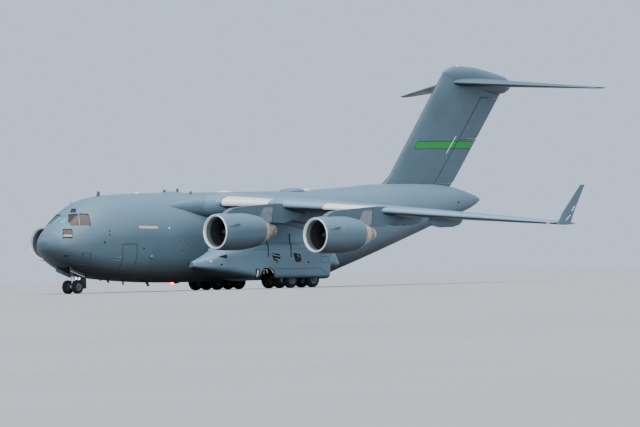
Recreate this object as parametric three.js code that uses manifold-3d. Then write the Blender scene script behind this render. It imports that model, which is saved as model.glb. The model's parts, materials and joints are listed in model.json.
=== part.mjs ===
import * as THREE from "three";
import { mergeVertices } from "three/addons/utils/BufferGeometryUtils.js";
import Module from "manifold-3d";

// Four-engined military transport plane as a 1:2 scale model, in millimetres.
// Axes: +X towards the nose, +Y to port, +Z up from the ground, origin below the middle of the length.
// Tables and sizes below are metres of the full-size aircraft, and at() turns them into model millimetres.
// A station is the distance aft of the nose tip.

const wasm = await Module();
wasm.setup();

const METRE = 500;
const LENGTH = 53.04;
const SEAT_GAP = 0.0007;
const MOVING_GAP = 0.014;
const PORT = 1;
const STARBOARD = -1;
const SIDES = [["port", PORT], ["starboard", STARBOARD]];
const FAR = 60;

// Fuselage lines. Columns: station, top, bottom, half width, widest height, lower squareness
const FUSELAGE = [
  [0.0, 3.74, 3.46, 0.14, 3.60, 2.0],
  [0.15, 4.08, 3.14, 0.66, 3.60, 2.0],
  [0.5, 4.50, 2.78, 1.20, 3.58, 2.0],
  [1.1, 5.00, 2.34, 1.72, 3.58, 2.1],
  [2.0, 5.62, 1.90, 2.25, 3.62, 2.3],
  [3.0, 6.30, 1.56, 2.64, 3.70, 2.6],
  [4.0, 6.78, 1.32, 2.92, 3.80, 2.9],
  [5.0, 7.03, 1.15, 3.10, 3.88, 3.2],
  [6.5, 7.18, 0.99, 3.29, 3.94, 3.3],
  [8.5, 7.27, 0.83, 3.40, 3.95, 3.1],
  [10.5, 7.30, 0.72, 3.43, 3.95, 3.0],
  [14.0, 7.30, 0.64, 3.43, 3.95, 3.0],
  [27.5, 7.30, 0.62, 3.43, 3.95, 3.0],
  [28.3, 7.31, 0.68, 3.43, 3.98, 3.0],
  [31.0, 7.42, 1.34, 3.38, 4.25, 2.9],
  [34.0, 7.56, 2.12, 3.24, 4.60, 2.7],
  [37.0, 7.72, 2.92, 2.98, 4.98, 2.5],
  [40.0, 7.74, 3.72, 2.58, 5.36, 2.3],
  [43.0, 7.68, 4.50, 2.02, 5.76, 2.1],
  [45.5, 7.48, 5.12, 1.46, 6.06, 2.0],
  [47.5, 7.04, 5.66, 0.90, 6.28, 2.0],
  [48.8, 6.67, 6.16, 0.40, 6.40, 2.0],
  [49.2, 6.52, 6.38, 0.10, 6.45, 2.0],
];
const AROUND = 24;
const WALL = 0.22;
const RADOME_END = 0.5;
const FORWARD_END = 9.6;
const CENTRE_START = 14.0;
const CENTRE_END = 28.0;
const AFT_END = 44.0;

// Hold and flight deck
const CARGO_FLOOR = 1.63;
const DECK_FLOOR = 4.05;
const DECK_THICKNESS = 0.2;
const DECK_FRONT = 0.62;
const DECK_REAR = 8.4;
const HOLD_FRONT = 4.9;
const HOLD_REAR = 43.7;
const TAIL_HOLLOW_REAR = 47.0;

// Cockpit windows on the port side. Each corner: station, degrees up round the section from its widest height
const WINDOWS = [
  [[1.38, 87.0], [2.16, 88.4], [2.2, 83.0], [1.56, 66.0]],
  [[2.28, 80.5], [2.58, 66.0], [2.02, 44.0], [1.64, 53.0], [1.74, 65.5]],
  [[2.66, 64.0], [3.08, 52.5], [2.74, 32.0], [2.12, 42.0]],
  [[2.5, 81.5], [2.88, 86.0], [2.94, 78.5], [2.64, 71.5]],
  [[1.04, 56.0], [1.48, 41.5], [1.22, 19.0], [0.72, 28.0]],
];
const GLAZING = { rear: 3.3, low: 4.1, outer: 0.08, inner: 0.14, reach: 0.3 };

// Wing. Columns: half span, leading edge station, chord, chord line height, thickness over chord
const WING = [
  [2.9, 14.33, 10.9, 6.50, 0.135],
  [6.0, 16.28, 9.45, 6.28, 0.125],
  [9.5, 18.49, 8.0, 5.96, 0.118],
  [13.7, 21.13, 6.6, 5.54, 0.118],
  [19.5, 24.79, 4.4, 4.90, 0.122],
  [25.15, 28.35, 2.1, 4.27, 0.125],
];
const WING_ROOT = WING[0][0];
const WING_TIP = WING[WING.length - 1][0];
const AIRFOIL_STEPS = [0, 0.015, 0.07, 0.2, 0.42, 0.7, 1.0];
const TRAILING_THICKNESS = 0.03;
const WING_INCIDENCE = 0.035;
const WING_CAMBER = 0.08;

// Wing centre section on the fuselage
const CENTRE_BOX = { front: 14.2, rear: 25.6, sill: 5.74, ceiling: 5.39, half: 2.4 };

// Flaps. Columns: name, inner half span, outer half span, front share of chord, drop of the pivot line
const FLAPS = [
  ["flap_inboard", 4.5, 9.95, 0.72, 1.1],
  ["flap_outboard", 10.2, 18.3, 0.72, 0.89],
];
// Aileron columns: inner half span, outer half span, hinge share of chord
const AILERON = [18.6, 24.5, 0.72];
const AILERON_TRAVEL = 25;
const SURFACE_END_GAP = 0.04;
const LUG = { places: [0.2, 0.8], half: 0.1 };
const FLAP_RELIEF = 42;
const FLAP_PIVOT = { halfLength: 0.1, halfHeight: 0.1 };

// Flap hinge fairings. Columns: half span, length, depth, half breadth, reach behind the wing
const FAIRINGS = [
  [5.6, 6.4, 1.5, 0.3, 0.75],
  [8.9, 5.8, 1.4, 0.28, 0.75],
  [12.6, 5.0, 1.3, 0.26, 0.55],
  [16.0, 3.9, 1.15, 0.24, 0.05],
];
const FAIRING_STEPS = [0.0, 0.12, 0.35, 0.7, 0.9, 1.0];
const FAIRING_SIDES = 8;

// Winglet. Columns: half span, height, leading edge station, chord
const WINGLET = [
  [25.15, 4.16, 28.3, 1.55],
  [25.3, 4.95, 28.7, 1.35],
  [25.75, 7.05, 30.38, 0.5],
];
const WINGLET_THICKNESS = 0.09;

// Engines. Columns: name, half span, inlet station, centre height
const ENGINES = [
  ["inner", 7.45, 10.35, 4.27],
  ["outer", 13.7, 14.35, 3.83],
];
// Fan cowl outline round the engine axis. Columns: distance aft of the inlet, radius
const COWL = [
  [0.0, 1.21], [0.05, 1.27], [0.3, 1.33], [1.0, 1.37], [2.4, 1.37], [3.5, 1.26], [4.4, 1.07],
  [4.4, 1.03], [2.8, 1.1], [1.2, 1.04], [0.3, 1.09],
];
const COWL_OUTSIDE = 7;
const TOE_IN = 4.25;
// Core outline. Columns: distance aft of the inlet, radius
const CORE = [
  [1.75, 0], [1.75, 0.62], [3.2, 0.78], [4.4, 0.8], [5.2, 0.72], [5.24, 0.54], [5.95, 0.42], [5.95, 0],
];
const FAN = { station: 1.25, radius: 1.0, hub: 0.34, spinner: 0.45, depth: 0.3, shaft: 0.16, blades: 10 };
const ENGINE_SIDES = 18;
const CORE_SIDES = 14;
const PYLON = { halfBreadth: 0.24, outward: 0.2 };
// Pylon outline. Columns: distance aft of the inlet, height over the engine axis
const PYLON_OUTLINE = [
  [0.8, 1.2], [1.1, 1.5], [1.7, 1.71], [2.9, 1.82], [4.0, 1.88], [6.3, 2.0], [8.2, 1.98], [9.7, 1.55],
  [9.7, 1.1], [7.2, 0.54], [6.1, 0.6], [5.2, 0.6], [4.3, 0.5],
];

// Fin. Columns: height, leading edge station, chord, thickness over chord
const FIN = [
  [7.1, 36.3, 9.0, 0.11],
  [7.7, 37.75, 8.3, 0.11],
  [8.4, 38.75, 7.95, 0.11],
  [15.2, 44.45, 8.15, 0.11],
  [16.25, 45.33, 5.0, 0.1],
];
const RUDDER_HINGE = 0.7;
const RUDDERS = [["rudder_lower", 7.76, 11.05], ["rudder_upper", 11.2, 14.3]];
const RUDDER_TRAVEL = 20;
const RUDDER_ENDS = 3;
const RUDDER_END_GAP = 0.075;
const RUDDER_TOP_FALL = 0.035;

// Stabiliser. Columns: half span, leading edge station, chord, height, thickness over chord
const STABILISER = [
  [0, 45.9, 6.6, 15.52, 0.1],
  [9.905, 51.74, 1.3, 14.74, 0.1],
];
const ELEVATOR = [0.95, 9.5, 0.68];
const ELEVATOR_TRAVEL = 20;

// Bullet on top of the fin. Columns: station, centre height, half height, half breadth
const BULLET = [
  [45.3, 16.22, 0.08, 0.06],
  [45.7, 16.1, 0.42, 0.26],
  [46.9, 15.94, 0.84, 0.44],
  [49.0, 15.74, 0.92, 0.54],
  [51.0, 15.46, 0.84, 0.5],
  [52.4, 15.32, 0.68, 0.4],
  [53.04, 15.3, 0.42, 0.26],
];
const BULLET_SIDES = 12;

// Sponsons. Columns: station, centre half span, half breadth, top, bottom, lower squareness
const SPONSON = [
  [12.3, 3.05, 0.45, 2.12, 1.72, 3.0],
  [13.3, 3.25, 1.2, 2.5, 1.42, 3.0],
  [14.2, 3.37, 1.6, 2.98, 1.18, 3.2],
  [16.5, 3.45, 1.86, 3.45, 0.8, 4.0],
  [18.0, 3.45, 1.89, 3.5, 0.62, 6.0],
  [25.5, 3.45, 1.87, 3.3, 0.62, 8.0],
  [25.6, 3.45, 1.84, 3.25, 1.42, 4.0],
  [26.7, 3.4, 1.52, 2.65, 1.45, 3.4],
  [27.9, 3.3, 0.8, 1.95, 1.55, 3.4],
];
const SPONSON_SIDES = 16;
const SPONSON_SQUARENESS = 3.4;
// Arch in the outer side of the sponson. Columns: station, height
const SPONSON_ARCH = [
  [17.65, 0], [17.65, 0.9], [17.8, 1.3], [18.1, 1.54], [18.5, 1.62], [18.9, 1.54], [19.25, 1.25], [19.45, 0.8], [19.45, 0],
];

// Wing root fairing on the shoulder. Columns: station, half span, height, half breadth, half height
const ROOT_FAIRING = [
  [12.4, 2.3, 6.15, 0.3, 0.3],
  [13.3, 2.45, 6.15, 0.62, 0.62],
  [14.4, 2.6, 6.15, 0.98, 0.86],
  [15.8, 2.75, 6.2, 1.3, 0.94],
  [17.4, 2.85, 6.25, 1.45, 0.9],
];
const ROOT_FAIRING_SIDES = 16;

// Landing gear
const NOSE_GEAR = { station: 2.95, halfTrack: 0.47, tyreRadius: 0.508, tyreBreadth: 0.38 };
const MAIN_GEAR = { station: 22.8, rowGap: 2.46, inner: 2.62, spacing: 1.07, tyreRadius: 0.635, tyreBreadth: 0.5 };
const NOSE_LEG = { split: 1.25, lower: 0.1, upper: 0.17, brace: 0.07, braceFoot: 1.6, braceHead: 2.15 };
const LEG_PLACE = 1.5;
const AXLE_RADIUS = 0.11;
const AXLE_PLAY = 0.012;
const COLLAR_RADIUS = 0.2;
const TYRE_SIDES = 16;
const WHEEL_WELL = { front: 16.9, rear: 25.2, inner: 2.2, outer: 5.12, top: 2.35, bellyTop: 1.42 };
const NOSE_BAY = { front: 1.95, rear: 4.0, half: 0.66, top: 2.35 };
// Nose gear door panels. Columns: name, front, rear, port low, port high, hang below the skin
const NOSE_DOORS = [
  ["nose_door_port", 1.95, 3.5, 0.68, 0.74, 0.28],
  ["nose_door_starboard", 1.95, 3.5, -0.74, -0.68, 0.28],
  ["nose_door_aft", 4.02, 4.08, -0.32, 0.32, 0.95],
];

// Doors
const CREW_DOOR = { front: 5.2, rear: 6.4, sill: 1.78, head: 3.5 };
const RAMP = { front: 28.3, rear: 34.0, half: 2.45, hingeTop: 1.58, toeTop: 2.72 };
const CARGO_DOOR = { front: 34.02, rear: 39.6, half: 2.1, top: 5.2 };
const DOOR_LUGS = [5.4, 6.2];
const RAMP_LUG = { port: 1.4, low: 0.9, high: 1.2 };
const CARGO_DOOR_LUG = { port: 1.1, low: 3.6, high: 4.0 };
const DOOR_LEAN = Math.tan(THREE.MathUtils.degToRad(25));

// Turn a full-size place into the model's millimetres
const at = (station, port, up) => [(LENGTH / 2 - station) * METRE, port * METRE, up * METRE];
const lerp = (a, b, share) => a + (b - a) * share;

// Row of a table at a value of its first column, with straight lines between rows
function rowAt(table, value) {
  const last = table.length - 1;
  let i = 0;
  while (i < last - 1 && table[i + 1][0] < value) i += 1;
  const share = (value - table[i][0]) / (table[i + 1][0] - table[i][0]);
  return table[i].map((entry, column) => lerp(entry, table[i + 1][column], share));
}

// Closed triangle geometry from a list of equal loops, capped at both ends
function loft(loops) {
  const count = loops[0].length;
  const positions = loops.flat(2);
  const faces = [];
  for (let row = 0; row + 1 < loops.length; row += 1) {
    for (let i = 0; i < count; i += 1) {
      const j = (i + 1) % count;
      const a = row * count + i;
      const b = row * count + j;
      faces.push(a, b, b + count, a, b + count, a + count);
    }
  }
  const cap = (row, turned) => {
    const loop = loops[row];
    const spans = [0, 1, 2].map((axis) => {
      const values = loop.map((point) => point[axis]);
      return Math.max(...values) - Math.min(...values);
    });
    const thin = spans.indexOf(Math.min(...spans));
    const [u, v] = [0, 1, 2].filter((axis) => axis !== thin);
    const flat = loop.map((point) => new THREE.Vector2(point[u], point[v]));
    const clockwise = THREE.ShapeUtils.isClockWise(flat);
    const order = flat.map((_, i) => (clockwise ? count - 1 - i : i));
    const triangles = THREE.ShapeUtils.triangulateShape(order.map((i) => flat[i]), []);
    for (const triangle of triangles) {
      const corners = triangle.map((i) => row * count + order[i]);
      if (clockwise !== turned) corners.reverse();
      faces.push(...corners);
    }
  };
  cap(0, true);
  cap(loops.length - 1, false);
  const geometry = new THREE.BufferGeometry();
  geometry.setAttribute("position", new THREE.Float32BufferAttribute(positions, 3));
  geometry.setIndex(faces);
  return geometry;
}

function signedVolume(positions, index) {
  let sum = 0;
  for (let i = 0; i < index.length; i += 3) {
    const [a, b, c] = [0, 1, 2].map((k) => new THREE.Vector3().fromArray(positions, index[i + k] * 3));
    sum += a.dot(b.cross(c));
  }
  return sum / 6;
}

// Manifold solid from a geometry, turned so that its faces point out
function solid(geometry) {
  const bare = new THREE.BufferGeometry();
  bare.setAttribute("position", geometry.getAttribute("position").clone());
  bare.setIndex(geometry.index ? geometry.index.clone() : null);
  const merged = mergeVertices(bare, 0.001);
  const vertProperties = new Float32Array(merged.attributes.position.array);
  const triVerts = new Uint32Array(merged.index.array);
  if (signedVolume(vertProperties, triVerts) < 0) {
    for (let i = 0; i < triVerts.length; i += 3) {
      [triVerts[i], triVerts[i + 1]] = [triVerts[i + 1], triVerts[i]];
    }
  }
  return new wasm.Manifold(new wasm.Mesh({ numProp: 3, vertProperties, triVerts }));
}

const cut = (body, ...tools) => tools.reduce((left, tool) => left.subtract(tool), body);
const join = (first, ...rest) => rest.reduce((sum, next) => sum.add(next), first);
const common = (first, ...rest) => rest.reduce((left, next) => left.intersect(next), first);

// Box between two corners, in full-size metres
function block(stationA, stationB, portA, portB, upA, upB) {
  const low = at(Math.max(stationA, stationB), Math.min(portA, portB), Math.min(upA, upB));
  const high = at(Math.min(stationA, stationB), Math.max(portA, portB), Math.max(upA, upB));
  const box = new THREE.BoxGeometry(high[0] - low[0], high[1] - low[1], high[2] - low[2]);
  box.translate(...low.map((value, axis) => (value + high[axis]) / 2));
  return solid(box);
}

// Flat outline of stations and heights, drawn out between two places across the aircraft
const prism = (outline, portA, portB) => solid(loft(
  [portA, portB].map((port) => outline.map(([station, up]) => at(station, port, up)))));

// Round bar or cone between two places, with a radius at each end
function bar(from, to, radius, endRadius = radius, sides = 14) {
  const start = new THREE.Vector3(...at(...from));
  const end = new THREE.Vector3(...at(...to));
  const run = end.clone().sub(start);
  const shape = new THREE.CylinderGeometry(endRadius * METRE, radius * METRE, run.length(), sides);
  shape.applyQuaternion(new THREE.Quaternion().setFromUnitVectors(new THREE.Vector3(0, 1, 0), run.clone().normalize()));
  shape.translate(...start.add(end).multiplyScalar(0.5).toArray());
  return solid(shape);
}

// Solid of revolution from an outline of distance and radius. axis is "aft" or "port", toe turns it in plan
function turned(outline, place, axis, sides, toe = 0) {
  const points = outline.map(([along, radius]) => new THREE.Vector2(Math.max(radius, 0) * METRE, along * METRE));
  const lathe = new THREE.LatheGeometry(points, sides);
  if (axis === "aft") lathe.rotateZ(Math.PI / 2 - THREE.MathUtils.degToRad(toe));
  lathe.translate(...at(...place));
  return solid(lathe);
}

// Section of the fuselage, drawn in by a wall thickness
function fuselageLoop(station, inset = 0) {
  const [, top, bottom, half, widest, squareness] = rowAt(FUSELAGE, station);
  const loop = [];
  for (let i = 0; i < AROUND; i += 1) {
    const angle = (i / AROUND) * 2 * Math.PI;
    const side = Math.cos(angle);
    const rise = Math.sin(angle);
    const power = rise < 0 ? 2 / squareness : 1;
    const across = Math.sign(side) * Math.abs(side) ** power * Math.max(half - inset, 0.02);
    const reach = rise < 0 ? widest - bottom : top - widest;
    const up = widest + Math.sign(rise) * Math.abs(rise) ** power * Math.max(reach - inset, 0.02);
    loop.push(at(station, across, up));
  }
  return loop;
}

// Place on the upper fuselage skin, by its angle up round the section
function skinPoint([station, degrees]) {
  const [, top, , half, widest] = rowAt(FUSELAGE, station);
  const angle = THREE.MathUtils.degToRad(degrees);
  return at(station, Math.cos(angle) * half, widest + Math.sin(angle) * (top - widest));
}

// Tool that cuts a window through the skin, square to it
function windowTool(corners, side) {
  const points = corners.map((corner) => new THREE.Vector3(...skinPoint(corner)));
  const first = points[2].clone().sub(points[0]);
  const second = points[3].clone().sub(points[1]);
  const out = first.cross(second).normalize();
  if (out.z < 0) out.negate();
  const reach = GLAZING.reach * METRE;
  return solid(loft([-reach, reach].map((distance) => points.map((point) => {
    const moved = point.clone().addScaledVector(out, distance);
    return [moved.x, side * moved.y, moved.z];
  }))));
}

// Stretch of the fuselage's shape between two stations
function barrel(front, rear, inset = 0) {
  const between = FUSELAGE.map((row) => row[0]).filter((station) => station > front + 0.05 && station < rear - 0.05);
  return solid(loft([front, ...between, rear].map((station) => fuselageLoop(station, inset))));
}

// Airfoil outline as pairs of chord share and height over chord
function airfoil(thickness, chord, camber = 0) {
  const half = (share) => {
    const body = 0.2969 * Math.sqrt(share) - 0.126 * share - 0.3516 * share ** 2 + 0.2843 * share ** 3 - 0.1036 * share ** 4;
    return 5 * thickness * body + (TRAILING_THICKNESS / 2 / chord) * share;
  };
  const upper = AIRFOIL_STEPS.map((share) => [share, half(share) * (1 + camber)]);
  const lower = AIRFOIL_STEPS.slice(1).map((share) => [share, -half(share) * (1 - camber)]);
  return [...upper, ...lower.reverse()];
}

// Wing section at a half span. grow widens it all round
function wingLoop(half, side, grow = 0) {
  const [, front, chord, height, thickness] = rowAt(WING, half);
  return airfoil(thickness, chord, WING_CAMBER).map(([share, rise]) => {
    const along = front + share * chord + (share - 0.5) * 2 * grow;
    const up = height - WING_INCIDENCE * share * chord + rise * chord + Math.sign(rise) * grow;
    return at(along, side * half, up);
  });
}

function wingSolid(side, grow = 0) {
  return solid(loft(WING.map(([half]) => wingLoop(half, side, grow))));
}

// Point on a surface's chord line
const wingPoint = (half, share, drop = 0) => {
  const [, front, chord, height] = rowAt(WING, half);
  return [front + share * chord, half, height - WING_INCIDENCE * share * chord - drop];
};

// Everything behind a plane through a hinge line, between ends square to the line.
// lean tilts the plane's top aft, in degrees, and grow moves the ends out
function behind(from, to, lean, grow, up = [0, 0, 1]) {
  const reach = 8;
  const tall = 4;
  const start = new THREE.Vector3(...at(...from));
  const end = new THREE.Vector3(...at(...to));
  const line = end.clone().sub(start).normalize();
  const square = new THREE.Vector3(...up);
  square.addScaledVector(line, -square.dot(line)).normalize();
  const straight = new THREE.Vector3().crossVectors(line, square);
  if (straight.x > 0) straight.negate();
  const tilt = THREE.MathUtils.degToRad(lean);
  const rise = square.clone().multiplyScalar(Math.cos(tilt)).addScaledVector(straight, Math.sin(tilt));
  const aft = straight.clone().multiplyScalar(Math.cos(tilt)).addScaledVector(square, -Math.sin(tilt));
  const a = start.clone().addScaledVector(line, -grow * METRE);
  const b = end.clone().addScaledVector(line, grow * METRE);
  const corners = (base) => [
    base.clone().addScaledVector(rise, -tall * METRE),
    base.clone().addScaledVector(rise, tall * METRE),
    base.clone().addScaledVector(rise, tall * METRE).addScaledVector(aft, reach * METRE),
    base.clone().addScaledVector(rise, -tall * METRE).addScaledVector(aft, reach * METRE),
  ].map((point) => point.toArray());
  return solid(loft([corners(a), corners(b)]));
}

// Room for a surface behind its hinge line, with lugs left standing up to the line
function hingeRoom(a, b, grow, up) {
  const span = a.map((value, axis) => b[axis] - value);
  const along = (share) => a.map((value, axis) => value + span[axis] * share);
  const length = Math.hypot(...span);
  const slab = (share, aft, spare) => behind(
    shifted(along(share - LUG.half / length), aft), shifted(along(share + LUG.half / length), aft), 0, spare, up);
  const lugs = LUG.places.map((share) => cut(slab(share, -2 * MOVING_GAP, 0), slab(share, -SEAT_GAP, LUG.half)));
  return cut(behind(shifted(a, -MOVING_GAP), shifted(b, -MOVING_GAP), 0, grow, up), ...lugs);
}

// Place moved along the aircraft
const shifted = ([station, port, up], aft) => [station + aft, port, up];
const sided = ([station, half, up], side) => [station, side * half, up];

// Material colours, from the photo
const FINISH = {
  paint: { color: 0x7c8b98, roughness: 0.6, metalness: 0.1 },
  paintDark: { color: 0x5c6d78, roughness: 0.6, metalness: 0.1 },
  lip: { color: 0xc9ccce, roughness: 0.35, metalness: 0.7 },
  hot: { color: 0x6e5a4d, roughness: 0.5, metalness: 0.7 },
  blade: { color: 0x2b2c2e, roughness: 0.45, metalness: 0.6 },
  glass: { color: 0x3f6870, roughness: 0.1, metalness: 0 },
  tyre: { color: 0x1b1b1c, roughness: 0.85, metalness: 0 },
  gear: { color: 0xd6d8d6, roughness: 0.45, metalness: 0.2 },
};

const plane = new THREE.Group();

// Add a solid to the model as a named mesh
function place(name, body, finish) {
  const mesh = body.getMesh();
  const geometry = new THREE.BufferGeometry();
  geometry.setAttribute("position", new THREE.Float32BufferAttribute(mesh.vertProperties, 3));
  geometry.setIndex(new THREE.Uint32BufferAttribute(mesh.triVerts, 1));
  const part = new THREE.Mesh(geometry, new THREE.MeshStandardMaterial(FINISH[finish]));
  part.name = name;
  plane.add(part);
  return part;
}

// Crew door opening in the port side, grown all round
const doorWay = (grow) => block(
  CREW_DOOR.front - grow, CREW_DOOR.rear + grow, 1.2, 4.2, CREW_DOOR.sill - grow, CREW_DOOR.head + grow);

// Nose with the flight deck, the front of the hold, the nose gear bay and the crew door
function cockpit() {
  place("radome", barrel(0, RADOME_END - SEAT_GAP), "paintDark");

  const shell = barrel(RADOME_END, FORWARD_END - SEAT_GAP);
  const deck = common(
    barrel(DECK_FRONT, DECK_REAR, WALL),
    block(DECK_FRONT, DECK_REAR, -FAR, FAR, DECK_FLOOR, 9));
  const lowerHold = common(
    barrel(HOLD_FRONT, DECK_REAR + 0.5, WALL),
    block(HOLD_FRONT, DECK_REAR + 0.5, -FAR, FAR, CARGO_FLOOR, DECK_FLOOR - DECK_THICKNESS));
  const hold = common(
    barrel(DECK_REAR + DECK_THICKNESS, FORWARD_END + 0.2, WALL),
    block(DECK_REAR, FORWARD_END + 0.3, -FAR, FAR, CARGO_FLOOR, 9));
  const rebate = common(
    barrel(DECK_FRONT, GLAZING.rear, GLAZING.outer),
    block(DECK_FRONT, GLAZING.rear, -FAR, FAR, GLAZING.low, 9));
  const windows = SIDES.flatMap(([, side]) => WINDOWS.map((corners) => windowTool(corners, side)));
  const bay = block(NOSE_BAY.front, NOSE_BAY.rear, -NOSE_BAY.half, NOSE_BAY.half, 0, NOSE_BAY.top);
  const lugs = DOOR_LUGS.map((station) => block(
    station - LUG.half / 2, station + LUG.half / 2, 0, 4, CREW_DOOR.sill - 0.1, CREW_DOOR.sill - SEAT_GAP));
  const way = cut(doorWay(MOVING_GAP), ...lugs);
  place("forward_fuselage", cut(shell, deck, lowerHold, hold, rebate, ...windows, bay, way), "paint");

  const band = cut(
    barrel(DECK_FRONT + SEAT_GAP, GLAZING.rear - SEAT_GAP, GLAZING.outer + SEAT_GAP),
    barrel(DECK_FRONT - 0.1, GLAZING.rear + 0.1, GLAZING.inner));
  const above = block(0, GLAZING.rear, -FAR, FAR, GLAZING.low + SEAT_GAP, 9);
  place("cockpit_glazing", common(band, above), "glass");

  const skin = cut(
    barrel(CREW_DOOR.front - 1, CREW_DOOR.rear + 1),
    barrel(CREW_DOOR.front - 1.1, CREW_DOOR.rear + 1.1, WALL));
  place("crew_door", common(skin, doorWay(0)), "paint");
}

// Wheel well of one side, up to a height
const wellTool = (side, top) => block(
  WHEEL_WELL.front, WHEEL_WELL.rear, side * WHEEL_WELL.inner, side * WHEEL_WELL.outer, 0, top);

// Shape of the cargo ramp, closed, seen from the side
const rampTool = (grow) => prism([
  [RAMP.front - grow, 0], [leaned(RAMP.rear + grow, 0), 0],
  [leaned(RAMP.rear + grow, RAMP.toeTop), RAMP.toeTop + grow], [RAMP.front - grow, RAMP.hingeTop + grow],
], -RAMP.half - grow, RAMP.half + grow);

// Shape of the cargo door's cut, seen from the side
const cargoDoorTool = (grow) => prism([
  [leaned(CARGO_DOOR.front - grow, 0), 0], [CARGO_DOOR.rear + grow, 0],
  [CARGO_DOOR.rear + grow, CARGO_DOOR.top], [leaned(CARGO_DOOR.front - grow, CARGO_DOOR.top), CARGO_DOOR.top],
], -CARGO_DOOR.half - grow, CARGO_DOOR.half + grow);

// Station of the leaned joint between ramp and cargo door at a height
function leaned(station, up) {
  const [, , bottom] = rowAt(FUSELAGE, RAMP.rear);
  return station - (up - bottom) * DOOR_LEAN;
}

// Barrels of the hold, the tail cone, the cargo ramp and the cargo door
function hold() {
  const tunnel = (front, rear) => common(
    barrel(front - 0.1, rear + 0.1, WALL),
    block(front - 0.2, rear + 0.2, -FAR, FAR, CARGO_FLOOR, 9));
  place("front_barrel", cut(barrel(FORWARD_END, CENTRE_START - SEAT_GAP), tunnel(FORWARD_END, CENTRE_START)), "paint");
  const seat = block(CENTRE_BOX.front, CENTRE_BOX.rear, -FAR, FAR, CENTRE_BOX.sill, 9);
  const wells = SIDES.map(([, side]) => wellTool(side, WHEEL_WELL.bellyTop));
  const centre = cut(barrel(CENTRE_START, CENTRE_END - SEAT_GAP), tunnel(CENTRE_START, CENTRE_END), seat, ...wells);
  place("centre_barrel", centre, "paint");

  const inside = prism([
    [CENTRE_END - 0.2, CARGO_FLOOR], [RAMP.front, CARGO_FLOOR],
    [leaned(RAMP.rear, RAMP.toeTop), RAMP.toeTop + 0.04], [RAMP.rear, CARGO_FLOOR],
    [HOLD_REAR, CARGO_FLOOR], [HOLD_REAR, 9], [CENTRE_END - 0.2, 9],
  ], -FAR, FAR);
  const hollow = common(barrel(CENTRE_END - 0.1, HOLD_REAR, WALL), inside);
  const above = prism([
    [RAMP.front - MOVING_GAP, CARGO_FLOOR - 0.1], [leaned(RAMP.rear, RAMP.toeTop), RAMP.toeTop - 0.1],
    [leaned(RAMP.rear, RAMP.toeTop), RAMP.toeTop + 0.1], [RAMP.front - MOVING_GAP, CARGO_FLOOR + 0.1],
  ], -RAMP.half - MOVING_GAP, RAMP.half + MOVING_GAP);
  const lug = (front, rear, { port, low, high }) => SIDES.map(([, side]) => block(
    front, rear, side * port - LUG.half, side * port + LUG.half, low, high));
  const rampRoom = cut(rampTool(MOVING_GAP), ...lug(RAMP.front - 0.1, RAMP.front - SEAT_GAP, RAMP_LUG));
  const doorRoom = cut(
    cargoDoorTool(MOVING_GAP), ...lug(CARGO_DOOR.rear + SEAT_GAP, CARGO_DOOR.rear + 0.1, CARGO_DOOR_LUG));
  const aft = cut(barrel(CENTRE_END, AFT_END - SEAT_GAP), hollow, rampRoom, above, doorRoom);
  place("aft_fuselage", aft, "paint");
  place("cargo_ramp", common(barrel(RAMP.front - 0.5, RAMP.rear + 1.5), rampTool(0)), "paintDark");
  const skin = cut(
    barrel(CARGO_DOOR.front - 1, CARGO_DOOR.rear + 1),
    barrel(CARGO_DOOR.front - 1.1, CARGO_DOOR.rear + 1.1, WALL));
  place("cargo_door", common(skin, cargoDoorTool(0)), "paintDark");

  const end = FUSELAGE[FUSELAGE.length - 1][0];
  place("tail_cone", cut(barrel(AFT_END, end), barrel(AFT_END - 0.1, TAIL_HOLLOW_REAR, WALL)), "paint");
}

// Wing centre section that closes the top of the centre barrel
function wingCentre() {
  const inner = WING_ROOT - SEAT_GAP;
  const seat = block(CENTRE_BOX.front, CENTRE_BOX.rear, -inner, inner, CENTRE_BOX.sill + SEAT_GAP, 9);
  const crown = common(barrel(CENTRE_BOX.front + SEAT_GAP, CENTRE_BOX.rear - SEAT_GAP), seat);
  const root = [-inner, inner].map((port) => wingLoop(WING_ROOT, PORT).map(([x, , z]) => [x, port * METRE, z]));
  const ceiling = block(
    CENTRE_BOX.front + 0.1, CENTRE_BOX.rear - 0.1, -CENTRE_BOX.half, CENTRE_BOX.half,
    CENTRE_BOX.ceiling, CENTRE_BOX.sill + 0.1);
  place("wing_centre_section", join(crown, common(solid(loft(root)), seat), ceiling), "paint");
}

// Fairing from the fuselage's shoulder to the wing's leading edge, outboard of the centre section
function rootFairing(side) {
  const shape = solid(loft(ROOT_FAIRING.map(([station, half, height, broad, tall]) => {
    const loop = [];
    for (let i = 0; i < ROOT_FAIRING_SIDES; i += 1) {
      const angle = (i / ROOT_FAIRING_SIDES) * 2 * Math.PI;
      loop.push(at(station, side * (half + Math.cos(angle) * broad), height + Math.sin(angle) * tall));
    }
    return loop;
  })));
  return cut(shape, block(0, LENGTH, -WING_ROOT, WING_ROOT, 0, 9));
}

// Flap hinge fairing, a tapered pod under the wing
function fairingSolid([half, length, depth, breadth, overhang], side) {
  const [, front, chord] = rowAt(WING, half);
  const [, , middle] = wingPoint(half, 0.6);
  const start = front + chord + overhang - length;
  return solid(loft(FAIRING_STEPS.map((share) => {
    const swell = Math.sqrt(Math.max(1 - (2 * share - 1) ** 2, 0.02));
    const loop = [];
    for (let i = 0; i < FAIRING_SIDES; i += 1) {
      const angle = ((i + 0.5) / FAIRING_SIDES) * 2 * Math.PI;
      const up = middle - depth * 0.42 + Math.sin(angle) * depth * 0.5 * swell;
      loop.push(at(start + share * length, side * (half + Math.cos(angle) * breadth * swell), up));
    }
    return loop;
  })));
}

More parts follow.
